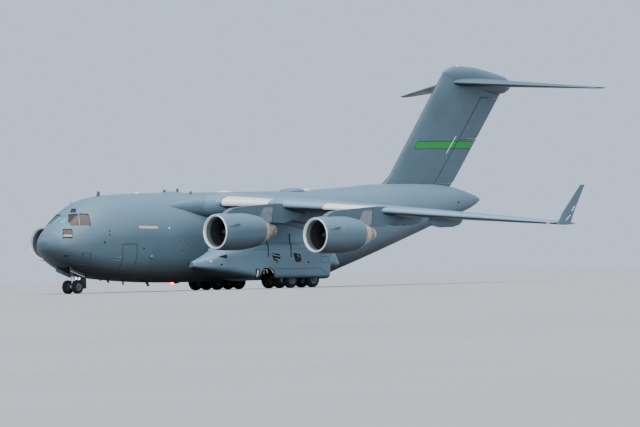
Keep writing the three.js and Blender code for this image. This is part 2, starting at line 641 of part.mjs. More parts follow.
// Wings with their root fairings, flaps, ailerons, hinge fairings and winglets
function wings() {
  for (const [sideName, side] of SIDES) {
    const full = cut(join(wingSolid(side), rootFairing(side)), barrel(FORWARD_END, CENTRE_END, -SEAT_GAP));
    const shape = join(full, ...FAIRINGS.map((row) => fairingSolid(row, side)));
    let wing = shape;

    for (const [name, inner, outer, share, drop] of FLAPS) {
      const [a, b] = [wingPoint(inner, share), wingPoint(outer, share)].map((point) => sided(point, side));
      wing = cut(wing, behind(a, b, 0, SURFACE_END_GAP));
      const pods = FAIRINGS.filter(([half]) => half > inner && half < outer);
      const nubs = pods.map(([half]) => {
        const [near, far] = [-1, 1].map((sign) => {
          const portion = (half - inner + sign * FLAP_PIVOT.halfLength) / (outer - inner);
          return shifted(a.map((value, axis) => lerp(value, b[axis], portion)), SEAT_GAP);
        });
        const level = near[2] - drop;
        const band = block(0, LENGTH, -FAR, FAR, level - FLAP_PIVOT.halfHeight, level + FLAP_PIVOT.halfHeight);
        return common(behind(near, far, 0, 0), band);
      });
      const room = join(behind(shifted(a, MOVING_GAP), shifted(b, MOVING_GAP), 0, 0), ...nubs);
      const [low, high] = [a, b].map(([station, port, up]) => [station + SEAT_GAP, port, up - drop]);
      place(`${name}_${sideName}`, common(shape, room, behind(low, high, -FLAP_RELIEF, 0)), "paint");
    }

    const [inner, outer, share] = AILERON;
    const [a, b] = [wingPoint(inner, share), wingPoint(outer, share)].map((point) => sided(point, side));
    wing = cut(wing, hingeRoom(a, b, SURFACE_END_GAP));
    place(`aileron_${sideName}`, vNosed(full, a, b, AILERON_TRAVEL), "paint");
    place(`wing_${sideName}`, wing, "paint");
    place(`winglet_${sideName}`, cut(wingletSolid(side), wingSolid(side, SEAT_GAP)), "paint");
  }
}

// Part of a surface behind its hinge line, with a nose pointed enough to swing both ways
function vNosed(body, a, b, travel, up = [0, 0, 1], grow = 0) {
  const lean = travel + 2;
  return common(body, behind(a, b, lean, grow, up), behind(a, b, -lean, grow, up));
}

function wingletSolid(side) {
  return solid(loft(WINGLET.map(([half, height, front, chord]) =>
    airfoil(WINGLET_THICKNESS, chord).map(([share, rise]) =>
      at(front + share * chord, side * (half + rise * chord), height)))));
}

// Engines with their cowls, fans, cores and pylons
function engines() {
  for (const [sideName, side] of SIDES) {
    const toe = side * TOE_IN;
    for (const [name, half, inlet, height] of ENGINES) {
      const tag = `${name}_${sideName}`;
      const centre = [inlet, side * half, height];
      place(`fan_cowl_${tag}`, turned([...COWL, COWL[0]], centre, "aft", ENGINE_SIDES, toe), "lip");
      place(`core_${tag}`, turned(CORE, centre, "aft", CORE_SIDES, toe), "hot");
      place(`fan_${tag}`, fanSolid(centre, toe), "blade");

      const grown = ([along, radius]) => [along, radius && radius + SEAT_GAP];
      const outside = COWL.slice(0, COWL_OUTSIDE).map(grown);
      const [exit] = outside[COWL_OUTSIDE - 1];
      const nacelle = turned([[-0.1, 0], ...outside, [exit + SEAT_GAP, 0]], centre, "aft", ENGINE_SIDES, toe);
      const core = turned(CORE.map(grown), centre, "aft", CORE_SIDES, toe);
      const port = side * (half + PYLON.outward);
      const outline = PYLON_OUTLINE.map(([along, rise]) => [inlet + along, height + rise]);
      const body = prism(outline, port - PYLON.halfBreadth, port + PYLON.halfBreadth);
      place(`pylon_${tag}`, cut(body, nacelle, core, wingSolid(side, SEAT_GAP)), "paint");
    }
  }
}

// Fan with its spinner, blades and shaft end
function fanSolid(centre, toe) {
  const { station, radius, hub, spinner, depth, shaft, blades } = FAN;
  const outline = [
    [station - spinner, 0], [station - spinner * 0.6, hub * 0.55], [station, hub], [station + depth, hub],
    [station + depth, shaft], [CORE[0][0] - 2 * SEAT_GAP, shaft], [CORE[0][0] - 2 * SEAT_GAP, 0],
  ];
  const root = hub - 0.06;
  const ring = [];
  for (let i = 0; i < blades; i += 1) {
    const blade = new THREE.BoxGeometry(0.035 * METRE, 0.24 * METRE, (radius - root) * METRE);
    blade.rotateZ(0.9);
    blade.translate(-(station + depth / 2) * METRE, 0, ((radius + root) / 2) * METRE);
    blade.rotateX(((i + 0.5) / blades) * 2 * Math.PI);
    blade.rotateZ(-THREE.MathUtils.degToRad(toe));
    blade.translate(...at(...centre));
    ring.push(solid(blade));
  }
  return join(turned(outline, centre, "aft", blades, toe), ...ring);
}

// Bullet on top of the fin
function bulletSolid(grow) {
  return solid(loft(BULLET.map(([station, height, tall, broad]) => {
    const loop = [];
    for (let i = 0; i < BULLET_SIDES; i += 1) {
      const angle = (i / BULLET_SIDES) * 2 * Math.PI;
      loop.push(at(station, Math.cos(angle) * (broad + grow), height + Math.sin(angle) * (tall + grow)));
    }
    return loop;
  })));
}

function stabiliserSolid(grow) {
  const rows = [STABILISER[1], STABILISER[0], STABILISER[1]];
  return solid(loft(rows.map(([half, front, chord, height, thickness], index) =>
    airfoil(thickness, chord).map(([share, rise]) => at(
      front + share * chord + (share - 0.5) * 2 * grow, (index - 1) * half,
      height + rise * chord + Math.sign(rise) * grow)))));
}

// Fin with its two rudders, the bullet and the stabiliser with its elevators
function tail() {
  const shape = solid(loft(FIN.map(([height, front, chord, thickness]) =>
    airfoil(thickness, chord).map(([share, rise]) => at(front + share * chord, rise * chord, height)))));
  const sideways = [0, 1, 0];
  let fin = shape;
  for (const [name, low, high] of RUDDERS) {
    const [a, b] = [low, high].map((height) => {
      const [, front, chord] = rowAt(FIN, height);
      return [front + RUDDER_HINGE * chord, 0, height];
    });
    const room = block(0, LENGTH, -FAR, FAR, low - RUDDER_END_GAP, high + RUDDER_END_GAP);
    fin = cut(fin, common(hingeRoom(a, b, RUDDER_ENDS, sideways), room));
    const fallen = high - RUDDER_TOP_FALL * (LENGTH - b[0]);
    const band = prism([[0, low], [0, high], [b[0], high], [LENGTH, fallen], [LENGTH, low]], -FAR, FAR);
    place(name, common(vNosed(shape, a, b, RUDDER_TRAVEL, sideways, RUDDER_ENDS), band), "paint");
  }
  const body = barrel(FIN[0][1] - 1, FUSELAGE[FUSELAGE.length - 1][0], -SEAT_GAP);
  place("fin", cut(fin, bulletSolid(SEAT_GAP), stabiliserSolid(SEAT_GAP), body), "paint");
  place("tail_bullet", cut(bulletSolid(0), stabiliserSolid(SEAT_GAP)), "paint");

  let stabiliser = stabiliserSolid(0);
  const [inner, outer, share] = ELEVATOR;
  for (const [sideName, side] of SIDES) {
    const [a, b] = [inner, outer].map((half) => {
      const [, front, chord, height] = rowAt(STABILISER, half);
      return [front + share * chord, side * half, height];
    });
    stabiliser = cut(stabiliser, hingeRoom(a, b, SURFACE_END_GAP));
    place(`elevator_${sideName}`, vNosed(stabiliserSolid(0), a, b, ELEVATOR_TRAVEL), "paint");
  }
  place("stabiliser", stabiliser, "paint");
}

// Sponsons with their wheel wells and side arches
function sponsons() {
  for (const [sideName, side] of SIDES) {
    const shape = solid(loft(SPONSON.map(([station, centre, half, top, bottom, lower]) => {
      const loop = [];
      for (let i = 0; i < SPONSON_SIDES; i += 1) {
        const angle = ((i + 0.5) / SPONSON_SIDES) * 2 * Math.PI;
        const squareness = Math.sin(angle) < 0 ? lower : SPONSON_SQUARENESS;
        const [across, rise] = [Math.cos(angle), Math.sin(angle)].map(
          (value) => Math.sign(value) * Math.abs(value) ** (2 / squareness));
        loop.push(at(station, side * (centre + across * half), (top + bottom) / 2 + rise * (top - bottom) / 2));
      }
      return loop;
    })));
    const arch = prism(SPONSON_ARCH, side * (WHEEL_WELL.outer - 0.5), side * (WHEEL_WELL.outer + 0.5));
    const belly = barrel(SPONSON[0][0] - 1, CENTRE_END + 1, -SEAT_GAP);
    place(`sponson_${sideName}`, cut(shape, belly, wellTool(side, WHEEL_WELL.top), arch), "paintDark");
  }
}

// Wheels side by side on one axle
function wheelSet(station, ports, radius, breadth) {
  const half = breadth / 2;
  const outline = [
    [-half, 0], [-half, radius * 0.84], [-half * 0.64, radius],
    [half * 0.64, radius], [half, radius * 0.84], [half, 0],
  ];
  const wheels = ports.map((port) => turned(outline, [station, port, radius], "port", TYRE_SIDES));
  const low = Math.min(...ports) - half;
  const high = Math.max(...ports) + half;
  return join(bar([station, low, radius], [station, high, radius], AXLE_RADIUS), ...wheels);
}

// Half length of an axle collar that fills the room between two wheels
const collar = (halfSpacing, breadth) => halfSpacing - breadth / 2 - 2 * SEAT_GAP;

// Nose and main landing gear
function gear() {
  const { station, halfTrack, tyreRadius, tyreBreadth } = NOSE_GEAR;
  place("nose_wheels", wheelSet(station, [-halfTrack, halfTrack], tyreRadius, tyreBreadth), "tyre");
  const bore = bar([station, -1, tyreRadius], [station, 1, tyreRadius], AXLE_RADIUS + AXLE_PLAY);
  const steered = join(
    bar([station, -collar(halfTrack, tyreBreadth), tyreRadius], [station, collar(halfTrack, tyreBreadth), tyreRadius],
      COLLAR_RADIUS),
    bar([station, 0, tyreRadius + 0.1], [station, 0, NOSE_LEG.split], NOSE_LEG.lower));
  place("nose_leg_steered", cut(steered, bore), "gear");
  const leg = join(
    bar([station, 0, NOSE_LEG.split + SEAT_GAP], [station, 0, NOSE_BAY.top - SEAT_GAP], NOSE_LEG.upper),
    bar([station, 0, NOSE_LEG.braceFoot], [NOSE_BAY.rear - SEAT_GAP, 0, NOSE_LEG.braceHead], NOSE_LEG.brace, NOSE_LEG.brace, 8));
  place("nose_leg", cut(leg, block(NOSE_BAY.rear - SEAT_GAP, 9, -1, 1, 0, 4)), "gear");
  const belly = barrel(RADOME_END, HOLD_FRONT, -SEAT_GAP);
  for (const [name, front, rear, low, high, hang] of NOSE_DOORS) {
    const panel = common(block(front, rear, low, high, 0, NOSE_BAY.top), barrel(RADOME_END, HOLD_FRONT, -hang));
    place(name, cut(panel, belly), "paintDark");
  }

  const { rowGap, inner, spacing } = MAIN_GEAR;
  const hub = MAIN_GEAR.tyreRadius;
  for (const [sideName, side] of SIDES) {
    const ports = [0, 1, 2].map((i) => side * (inner + i * spacing));
    const middle = side * (inner + spacing * LEG_PLACE);
    for (const [rowName, row] of [["front", -0.5], ["rear", 0.5]]) {
      const axle = MAIN_GEAR.station + row * rowGap;
      place(`main_wheels_${rowName}_${sideName}`, wheelSet(axle, ports, hub, MAIN_GEAR.tyreBreadth), "tyre");
      const hole = bar([axle, middle - 1, hub], [axle, middle + 1, hub], AXLE_RADIUS + AXLE_PLAY);
      const reach = collar(spacing / 2, MAIN_GEAR.tyreBreadth);
      const sleeve = bar([axle, middle - reach, hub], [axle, middle + reach, hub], COLLAR_RADIUS);
      const strut = bar([axle, middle, hub + 0.1], [axle, middle, WHEEL_WELL.top - SEAT_GAP], 0.16);
      place(`main_leg_${rowName}_${sideName}`, cut(join(sleeve, strut), hole), "gear");
    }
  }
}

cockpit();
hold();
wingCentre();
wings();
engines();
tail();
sponsons();
gear();

export default plane;
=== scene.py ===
import json
import math

import bmesh
import bpy
import numpy as np
from mathutils import Matrix, Vector


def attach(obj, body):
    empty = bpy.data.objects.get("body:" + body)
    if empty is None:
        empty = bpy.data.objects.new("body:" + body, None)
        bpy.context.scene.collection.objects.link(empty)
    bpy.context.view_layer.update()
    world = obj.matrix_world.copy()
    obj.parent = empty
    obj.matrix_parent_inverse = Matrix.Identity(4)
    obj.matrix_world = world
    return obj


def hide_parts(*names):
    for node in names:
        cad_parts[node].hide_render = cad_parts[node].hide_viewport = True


# Looks of a four-engined military transport plane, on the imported 1:2 scale model.
# Tables and sizes are metres of the full-size aircraft, and at() turns them into model metres.
# A station is the distance aft of the nose tip, port is to the left and up is over the ground.

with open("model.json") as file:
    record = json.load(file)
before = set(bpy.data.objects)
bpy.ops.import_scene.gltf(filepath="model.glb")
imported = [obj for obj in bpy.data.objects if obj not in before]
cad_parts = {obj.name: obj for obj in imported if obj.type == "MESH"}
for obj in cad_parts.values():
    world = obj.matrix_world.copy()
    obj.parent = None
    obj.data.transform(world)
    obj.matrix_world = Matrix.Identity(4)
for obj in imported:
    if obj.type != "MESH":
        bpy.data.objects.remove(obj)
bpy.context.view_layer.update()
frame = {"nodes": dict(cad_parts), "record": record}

SCALE = 0.5
LENGTH = 53.04
SIDES = (("port", 1), ("starboard", -1))
AIRFRAME = "airframe"

# Hull lines. Columns: station, top, bottom, half width, widest height, lower squareness
HULL = (
    (0.0, 3.74, 3.46, 0.14, 3.60, 2.0),
    (0.15, 4.08, 3.14, 0.66, 3.60, 2.0),
    (0.5, 4.50, 2.78, 1.20, 3.58, 2.0),
    (1.1, 5.00, 2.34, 1.72, 3.58, 2.1),
    (2.0, 5.62, 1.90, 2.25, 3.62, 2.3),
    (3.0, 6.30, 1.56, 2.64, 3.70, 2.6),
    (4.0, 6.78, 1.32, 2.92, 3.80, 2.9),
    (5.0, 7.03, 1.15, 3.10, 3.88, 3.2),
    (6.5, 7.18, 0.99, 3.29, 3.94, 3.3),
    (8.5, 7.27, 0.83, 3.40, 3.95, 3.1),
    (10.5, 7.30, 0.72, 3.43, 3.95, 3.0),
    (14.0, 7.30, 0.64, 3.43, 3.95, 3.0),
    (27.5, 7.30, 0.62, 3.43, 3.95, 3.0),
    (28.3, 7.31, 0.68, 3.43, 3.98, 3.0),
    (31.0, 7.42, 1.34, 3.38, 4.25, 2.9),
    (34.0, 7.56, 2.12, 3.24, 4.60, 2.7),
    (37.0, 7.72, 2.92, 2.98, 4.98, 2.5),
    (40.0, 7.74, 3.72, 2.58, 5.36, 2.3),
    (43.0, 7.68, 4.50, 2.02, 5.76, 2.1),
    (45.5, 7.48, 5.12, 1.46, 6.06, 2.0),
    (47.5, 7.04, 5.66, 0.90, 6.28, 2.0),
    (48.8, 6.67, 6.16, 0.40, 6.40, 2.0),
    (49.2, 6.52, 6.38, 0.10, 6.45, 2.0),
)
HULL_SIDES = 24
HULL_CENTRE_HEIGHT = 3.95

# Sponsons. Columns: station, centre half span, half breadth, top, bottom, lower squareness
SPONSON = (
    (12.3, 3.05, 0.45, 2.12, 1.72, 3.0),
    (13.3, 3.25, 1.2, 2.5, 1.42, 3.0),
    (14.2, 3.37, 1.6, 2.98, 1.18, 3.2),
    (16.5, 3.45, 1.86, 3.45, 0.8, 4.0),
    (18.0, 3.45, 1.89, 3.5, 0.62, 6.0),
    (25.5, 3.45, 1.87, 3.3, 0.62, 8.0),
    (25.6, 3.45, 1.84, 3.25, 1.42, 4.0),
    (26.7, 3.4, 1.52, 2.65, 1.45, 3.4),
    (27.9, 3.3, 0.8, 1.95, 1.55, 3.4),
)
SPONSON_SIDES = 16
SPONSON_SQUARENESS = 3.4

# Wing. Columns: half span, leading edge station, chord, chord line height, thickness over chord
WING = (
    (2.9, 14.33, 10.9, 6.50, 0.135),
    (6.0, 16.28, 9.45, 6.28, 0.125),
    (9.5, 18.49, 8.0, 5.96, 0.118),
    (13.7, 21.13, 6.6, 5.54, 0.118),
    (19.5, 24.79, 4.4, 4.90, 0.122),
    (25.15, 28.35, 2.1, 4.27, 0.125),
)
AIRFOIL_STEPS = (0, 0.015, 0.07, 0.2, 0.42, 0.7, 1.0)
# Terms of an airfoil's half thickness, each with the power of the chord share that it multiplies
AIRFOIL_SERIES = ((0.2969, 0.5), (-0.126, 1), (-0.3516, 2), (0.2843, 3), (-0.1036, 4))
TRAILING_THICKNESS = 0.03
WING_INCIDENCE = 0.035
WING_CAMBER = 0.08

# Fin. Columns: height, leading edge station, chord, thickness over chord
FIN = (
    (7.1, 36.3, 9.0, 0.11),
    (7.7, 37.75, 8.3, 0.11),
    (8.4, 38.75, 7.95, 0.11),
    (15.2, 44.45, 8.15, 0.11),
    (16.25, 45.33, 5.0, 0.1),
)

# Stabiliser. Columns: half span, leading edge station, chord, height, thickness over chord
STABILISER = (
    (0, 45.9, 6.6, 15.52, 0.1),
    (9.905, 51.74, 1.3, 14.74, 0.1),
)

# Bullet on top of the fin. Columns: station, centre height, half height, half breadth
BULLET = (
    (45.3, 16.22, 0.08, 0.06),
    (45.7, 16.1, 0.42, 0.26),
    (46.9, 15.94, 0.84, 0.44),
    (49.0, 15.74, 0.92, 0.54),
    (51.0, 15.46, 0.84, 0.5),
    (52.4, 15.32, 0.68, 0.4),
    (53.04, 15.3, 0.42, 0.26),
)
BULLET_SIDES = 12

# Inboard flap hinge fairings. Columns: half span, length, depth, half breadth, reach behind the wing
FAIRINGS = ((5.6, 6.4, 1.5, 0.3, 0.75), (8.9, 5.8, 1.4, 0.28, 0.75))
FAIRING_STEPS = (0.0, 0.12, 0.35, 0.7, 0.9, 1.0)
FAIRING_CUTS = (0.04, 0.2, 0.28, 0.45, 0.55, 0.8, 0.96)
FAIRING_SIDES = 8
# Chord share whose height they hang from, their drop over their depth, and how blunt their ends are
FAIRING_PLACE = {"share": 0.6, "drop": 0.42, "bluntness": 0.02}

# Wing root fairing on the shoulder. Columns: station, half span, height, half breadth, half height
ROOT_FAIRING = (
    (12.4, 2.3, 6.15, 0.3, 0.3),
    (13.3, 2.45, 6.15, 0.62, 0.62),
    (14.4, 2.6, 6.15, 0.98, 0.86),
    (15.8, 2.75, 6.2, 1.3, 0.94),
    (17.4, 2.85, 6.25, 1.45, 0.9),
)
ROOT_FAIRING_SIDES = 16

# Engines. Columns: name, half span, inlet station, centre height
ENGINES = (("inner", 7.45, 10.35, 4.27), ("outer", 13.7, 14.35, 3.83))
TOE_IN = 4.25

# Landing gear
NOSE_WHEELS = {"station": 2.95, "ports": (-0.47, 0.47), "radius": 0.508, "breadth": 0.38}
NOSE_BAY = {"rear": 4.05, "top": 2.4}
MAIN_AXLES = (("front", 21.57), ("rear", 24.03))
MAIN_WHEELS = {"ports": (2.62, 3.69, 4.76), "radius": 0.635, "breadth": 0.5}

# Cockpit windows. Each corner: station, degrees up round the section from its widest height
WINDOWS = (
    ("windscreen", ((1.38, 87.0), (2.16, 88.4), (2.2, 83.0), (1.56, 66.0))),
    ("side_front", ((2.28, 80.5), (2.58, 66.0), (2.02, 44.0), (1.64, 53.0), (1.74, 65.5))),
    ("side_rear", ((2.66, 64.0), (3.08, 52.5), (2.74, 32.0), (2.12, 42.0))),
    ("eyebrow", ((2.5, 81.5), (2.88, 86.0), (2.94, 78.5), (2.64, 71.5))),
    ("chin", ((1.04, 56.0), (1.48, 41.5), (1.22, 19.0), (0.72, 28.0))),
)

# Tolerances of the meshes. WELD and CUT_SNAP are model metres
WELD = 0.00002
CUT_SNAP = 1e-6
SKIN_TOLERANCE = 0.012
MARK_SLACK = 0.001
LEVEL_SLACK = 0.0015
CUT_MARGIN = 0.02
# Edges longer than this are split by so many cuts, and faces flatter than these degrees are joined before
SHORTEST_EDGE = 0.12
EDGE_CUTS = 3
FLAT_DEGREES = 0.15
TUBE_SHARP = 50
# Depth inside the hull's skin where its lining starts, and the rise of a normal that tells a floor
LINING_DEPTH = 0.13
FLOOR_RISE = 0.7
# Angles round the hull's side, and the height step that its lean is read over
SIDE_ANGLES = np.radians(np.linspace(-89.9, 89.9, 400))
LEAN_STEP = 0.05
# Rounded plates: points round the edge, rings inward, squareness of the outline and depth in the surface
PLATE_STEPS = 32
PLATE_RINGS = 3
PLATE_SQUARENESS = 6.0
PLATE_DEPTH = 0.03


def at(station, port, up):
    """Model place of a full-size one"""
    return Vector(((LENGTH / 2 - station) * SCALE, port * SCALE, up * SCALE))


def full_size(points):
    """Stations, ports and heights of model points"""
    points = np.asarray(points, float)
    return np.stack([LENGTH / 2 - points[:, 0] / SCALE, points[:, 1] / SCALE, points[:, 2] / SCALE], axis=1)


def model_size(points):
    """Model points of stations, ports and heights"""
    points = np.asarray(points, float)
    return np.stack([(LENGTH / 2 - points[:, 0]) * SCALE, points[:, 1] * SCALE, points[:, 2] * SCALE], axis=1)


class Lines:
    """Lines through the rows of a table, by its first column. A blunt nose follows the distance's root"""

    def __init__(self, rows, blunt=False):
        data = np.array(rows, float)
        self.blunt = blunt
        self.rows = data[:, 1:]
        self.marks = data[:, 0]
        self.places = np.sqrt(self.marks) if blunt else self.marks
        run = np.diff(self.places)[:, None]
        rise = np.diff(self.rows, axis=0) / run
        slopes = np.zeros_like(self.rows)
        before, after = rise[:-1], rise[1:]
        total = np.where(before * after > 0, before + after, 1.0)
        slopes[1:-1] = np.where(before * after > 0, 2 * before * after / total, 0.0)
        slopes[0], slopes[-1] = rise[0], rise[-1]
        self.slopes = slopes

    def straight(self, mark):
        """Row with straight lines between the table's rows, as in the solids"""
        return np.array([np.interp(mark, self.marks, column) for column in self.rows.T])

    def smooth(self, mark):
        """Row on smooth lines through the table's rows"""
        place = math.sqrt(max(mark, 0)) if self.blunt else mark
        i = int(np.clip(np.searchsorted(self.places, place) - 1, 0, len(self.places) - 2))
        run = self.places[i + 1] - self.places[i]
        t = float(np.clip((place - self.places[i]) / run, 0, 1))
        starts, ends = self.rows[i], self.rows[i + 1]
        return (
            (2 * t**3 - 3 * t**2 + 1) * starts
            + (t**3 - 2 * t**2 + t) * run * self.slopes[i]
            + (3 * t**2 - 2 * t**3) * ends
            + (t**3 - t**2) * run * self.slopes[i + 1]
        )


def turns(count, offset=0.0):
    """Angles evenly round a section"""
    return (np.arange(count) + offset) / count * 2 * math.pi


def powered(values, power):
    return np.sign(values) * np.abs(values) ** power


def hull_section(row, angles):
    """Ports and heights round the hull"""
    top, bottom, half, widest, squareness = row
    side, rise = np.cos(angles), np.sin(angles)
    power = np.where(rise < 0, 2 / squareness, 1.0)
    reach = np.where(rise < 0, widest - bottom, top - widest)
    return np.stack([powered(side, power) * half, widest + powered(rise, power) * reach], axis=1)


def sponson_section(row, angles):
    centre, half, top, bottom, lower = row
    side, rise = np.cos(angles), np.sin(angles)
    power = 2 / np.where(rise < 0, lower, SPONSON_SQUARENESS)
    return np.stack([centre + powered(side, power) * half,
                     (top + bottom) / 2 + powered(rise, power) * (top - bottom) / 2], axis=1)


def shoulder_section(row, angles):
    port, height, broad, tall = row
    return np.stack([port + np.cos(angles) * broad, height + np.sin(angles) * tall], axis=1)


def oval_section(row, angles):
    height, tall, broad = row
    return np.stack([np.cos(angles) * broad, height + np.sin(angles) * tall], axis=1)


def airfoil_body(shares, terms=5):
    """Half thickness of an airfoil over five times its whole thickness"""
    return sum(term * shares**power for term, power in AIRFOIL_SERIES[:terms])


def airfoil(thickness, chord, shares, camber=0.0):
    """Chord shares and heights over chord, round an airfoil"""
    shares = np.asarray(shares, float)
    half = 5 * thickness * airfoil_body(shares) + TRAILING_THICKNESS / 2 / chord * shares
    upper = np.stack([shares, half * (1 + camber)], axis=1)
    lower = np.stack([shares, -half * (1 - camber)], axis=1)[1:][::-1]
    return np.concatenate([upper, lower])


def wing_section(row, shares, incidence=WING_INCIDENCE, camber=WING_CAMBER):
    """Stations and heights round the wing at a half span"""
    front, chord, height, thickness = row
    along, rise = airfoil(thickness, chord, shares, camber).T * chord
    return np.stack([front + along, height - incidence * along + rise], axis=1)


def stabiliser_section(row, shares):
    return wing_section(row, shares, 0.0, 0.0)


def fin_section(row, shares):
    """Stations and ports round the fin at a height"""
    front, chord, thickness = row
    return wing_section((front, chord, 0.0, thickness), shares, 0.0, 0.0)


def nearest(points, loop):
    """Nearest places on a closed loop, and how far off they are"""
    run = np.roll(loop, -1, axis=0) - loop
    gap = points[:, None] - loop[None]
    share = np.clip((gap * run).sum(-1) / np.maximum((run**2).sum(-1), 1e-12), 0, 1)
    places = loop + share[..., None] * run
    off = np.linalg.norm(points[:, None] - places, axis=2)
    best = np.argmin(off, axis=1)
    rows = np.arange(len(points))
    return places[rows, best], off[rows, best]


class Skin:
    """A faceted skin of the solids, and the smooth one that is drawn for it.
    key is the axis that its sections are stacked along: 0 station, 1 half span, 2 height"""

    def __init__(self, rows, section, coarse, fine, key, steps, blunt=False, smooth_lines=True):
        self.lines = Lines(rows, blunt)
        self.section = section
        self.coarse = coarse
        self.fine = fine
        self.key = key
        self.flat = [axis for axis in (0, 1, 2) if axis != key]
        self.steps = steps
        self.smooth_lines = smooth_lines

    def facets(self, mark):
        marks = self.lines.marks
        i = int(np.clip(np.searchsorted(marks, mark) - 1, 0, len(marks) - 2))
        share = (mark - marks[i]) / (marks[i + 1] - marks[i])
        first, second = (self.section(self.lines.rows[j], self.coarse) for j in (i, i + 1))
        return first + (second - first) * share

    def smooth(self, mark):
        row = self.lines.smooth(mark) if self.smooth_lines else self.lines.straight(mark)
        return self.section(row, self.fine)

    def keys(self, points):
        values = points[:, self.key]
        return np.abs(values) if self.key == 1 else values

    def groups(self, points):
        """Indices of the points on the faceted skin, section by section"""
        keys = np.round(self.keys(points), 3)
        low, high = self.lines.marks[0] - MARK_SLACK, self.lines.marks[-1] + MARK_SLACK
        order = np.argsort(keys, kind="stable")
        edges = np.flatnonzero(np.diff(keys[order])) + 1
        flat = points[:, self.flat]
        for group in np.split(order, edges):
            mark = keys[group[0]]
            if low <= mark <= high:
                _, off = nearest(flat[group], self.facets(mark))
                on = group[off < SKIN_TOLERANCE]
                if len(on):
                    yield mark, on

    def slice(self, shape):
        """Cut the shape's faces at each section step"""
        points = full_size([vertex.co for vertex in shape.verts])
        low, high = self.keys(points).min(), self.keys(points).max()
        normal = Vector([1.0 if axis == self.key else 0.0 for axis in (0, 1, 2)])
        for step in self.steps:
            if not low + CUT_MARGIN < step < high - CUT_MARGIN:
                continue
            both = self.key == 1 and points[:, 1].min() < 0 < points[:, 1].max()
            for value in (step, -step) if both else (step,):
                spot = [0, 0, 0]
                spot[self.key] = value
                geometry = shape.verts[:] + shape.edges[:] + shape.faces[:]
                spot = at(*spot)
                bmesh.ops.bisect_plane(shape, geom=geometry, dist=CUT_SNAP, plane_co=spot, plane_no=normal)

    def divide(self, shape):
        """Split the section edges that lie on the faceted skin"""
        shape.verts.ensure_lookup_table()
        points = full_size([vertex.co for vertex in shape.verts])
        on = np.zeros(len(points), bool)
        for _, group in self.groups(points):
            on[group] = True
        keys = self.keys(points)
        chosen = []
        for edge in shape.edges:
            a, b = (vertex.index for vertex in edge.verts)
            level = abs(keys[a] - keys[b]) < LEVEL_SLACK
            if on[a] and on[b] and level and edge.calc_length() > SHORTEST_EDGE * SCALE:
                chosen.append(edge)
        bmesh.ops.subdivide_edges(shape, edges=chosen, cuts=EDGE_CUTS, use_grid_fill=True)

    def settle(self, shape):
        """Move points from the faceted skin to the smooth one"""
        shape.verts.ensure_lookup_table()
        points = full_size([vertex.co for vertex in shape.verts])
        flat = points[:, self.flat]
        moved = points.copy()
        for mark, group in self.groups(points):
            places, _ = nearest(flat[group], self.smooth(mark))
            moved[np.ix_(group, self.flat)] = places
        for vertex, place in zip(shape.verts, model_size(moved)):
            vertex.co = place

    def refine(self, shape):
        self.slice(shape)
        self.divide(shape)
        self.settle(shape)


class MirroredSkin:
    """A skin of the port side, used on either side"""

    def __init__(self, skin, side):
        self.skin = skin
        self.flip = Vector((1, side, 1))

    def refine(self, shape):
        bmesh.ops.scale(shape, vec=self.flip, verts=shape.verts)
        self.skin.refine(shape)
        bmesh.ops.scale(shape, vec=self.flip, verts=shape.verts)


def stretch(first, last, step):
    return tuple(np.arange(first, last, step))


HULL_STEPS = (
    (0.03, 0.07, 0.12) + stretch(0.2, 1.0, 0.12) + stretch(1.0, 5.0, 0.25)
    + stretch(5.0, 14.0, 0.6) + stretch(14.0, 28.0, 2.0) + stretch(28.3, 46.0, 0.6) + stretch(46.0, 49.2, 0.3)
)
FINE_SHARES = (1 - np.cos(np.linspace(0, math.pi, 60))) / 2
hull_skin = Skin(HULL, hull_section, turns(HULL_SIDES), turns(720), 0, HULL_STEPS, blunt=True)
sponson_skin = Skin(
    SPONSON, sponson_section, turns(SPONSON_SIDES, 0.5), turns(360), 0,
    stretch(12.1, 18.0, 0.4) + stretch(18.5, 25.3, 1.0) + stretch(25.7, 27.8, 0.3), smooth_lines=False)
wing_skin = Skin(
    WING, wing_section, AIRFOIL_STEPS, FINE_SHARES, 1, stretch(3.2, 25.0, 1.1), smooth_lines=False)
stabiliser_skin = Skin(
    STABILISER, stabiliser_section, AIRFOIL_STEPS, FINE_SHARES, 1, stretch(0.7, 9.8, 0.9), smooth_lines=False)
fin_skin = Skin(FIN, fin_section, AIRFOIL_STEPS, FINE_SHARES, 2, stretch(7.7, 16.2, 0.5), smooth_lines=False)
shoulder_skin = Skin(
    ROOT_FAIRING, shoulder_section, turns(ROOT_FAIRING_SIDES), turns(240), 0, stretch(12.6, 17.3, 0.3))
bullet_skin = Skin(
    BULLET, oval_section, turns(BULLET_SIDES), turns(180), 0, stretch(45.4, 53.0, 0.3))


def fairing_skin(row):
    """Skin of one flap hinge fairing"""
    half, length, depth, breadth, overhang = row
    front, chord, height, _ = wing_skin.lines.straight(half)
    middle = height - WING_INCIDENCE * FAIRING_PLACE["share"] * chord - depth * FAIRING_PLACE["drop"]
    start = front + chord + overhang - length

    def section(swell, angles):
        across = half + np.cos(angles) * breadth * swell[0]
        return np.stack([across, middle + np.sin(angles) * depth * 0.5 * swell[0]], axis=1)

    def swelling(share):
        return math.sqrt(max(1 - (2 * share - 1) ** 2, FAIRING_PLACE["bluntness"]))

    rows = [(start + share * length, swelling(share)) for share in FAIRING_STEPS]
    return Skin(rows, section, turns(FAIRING_SIDES, 0.5), turns(120), 0,
                [start + share * length for share in FAIRING_CUTS])


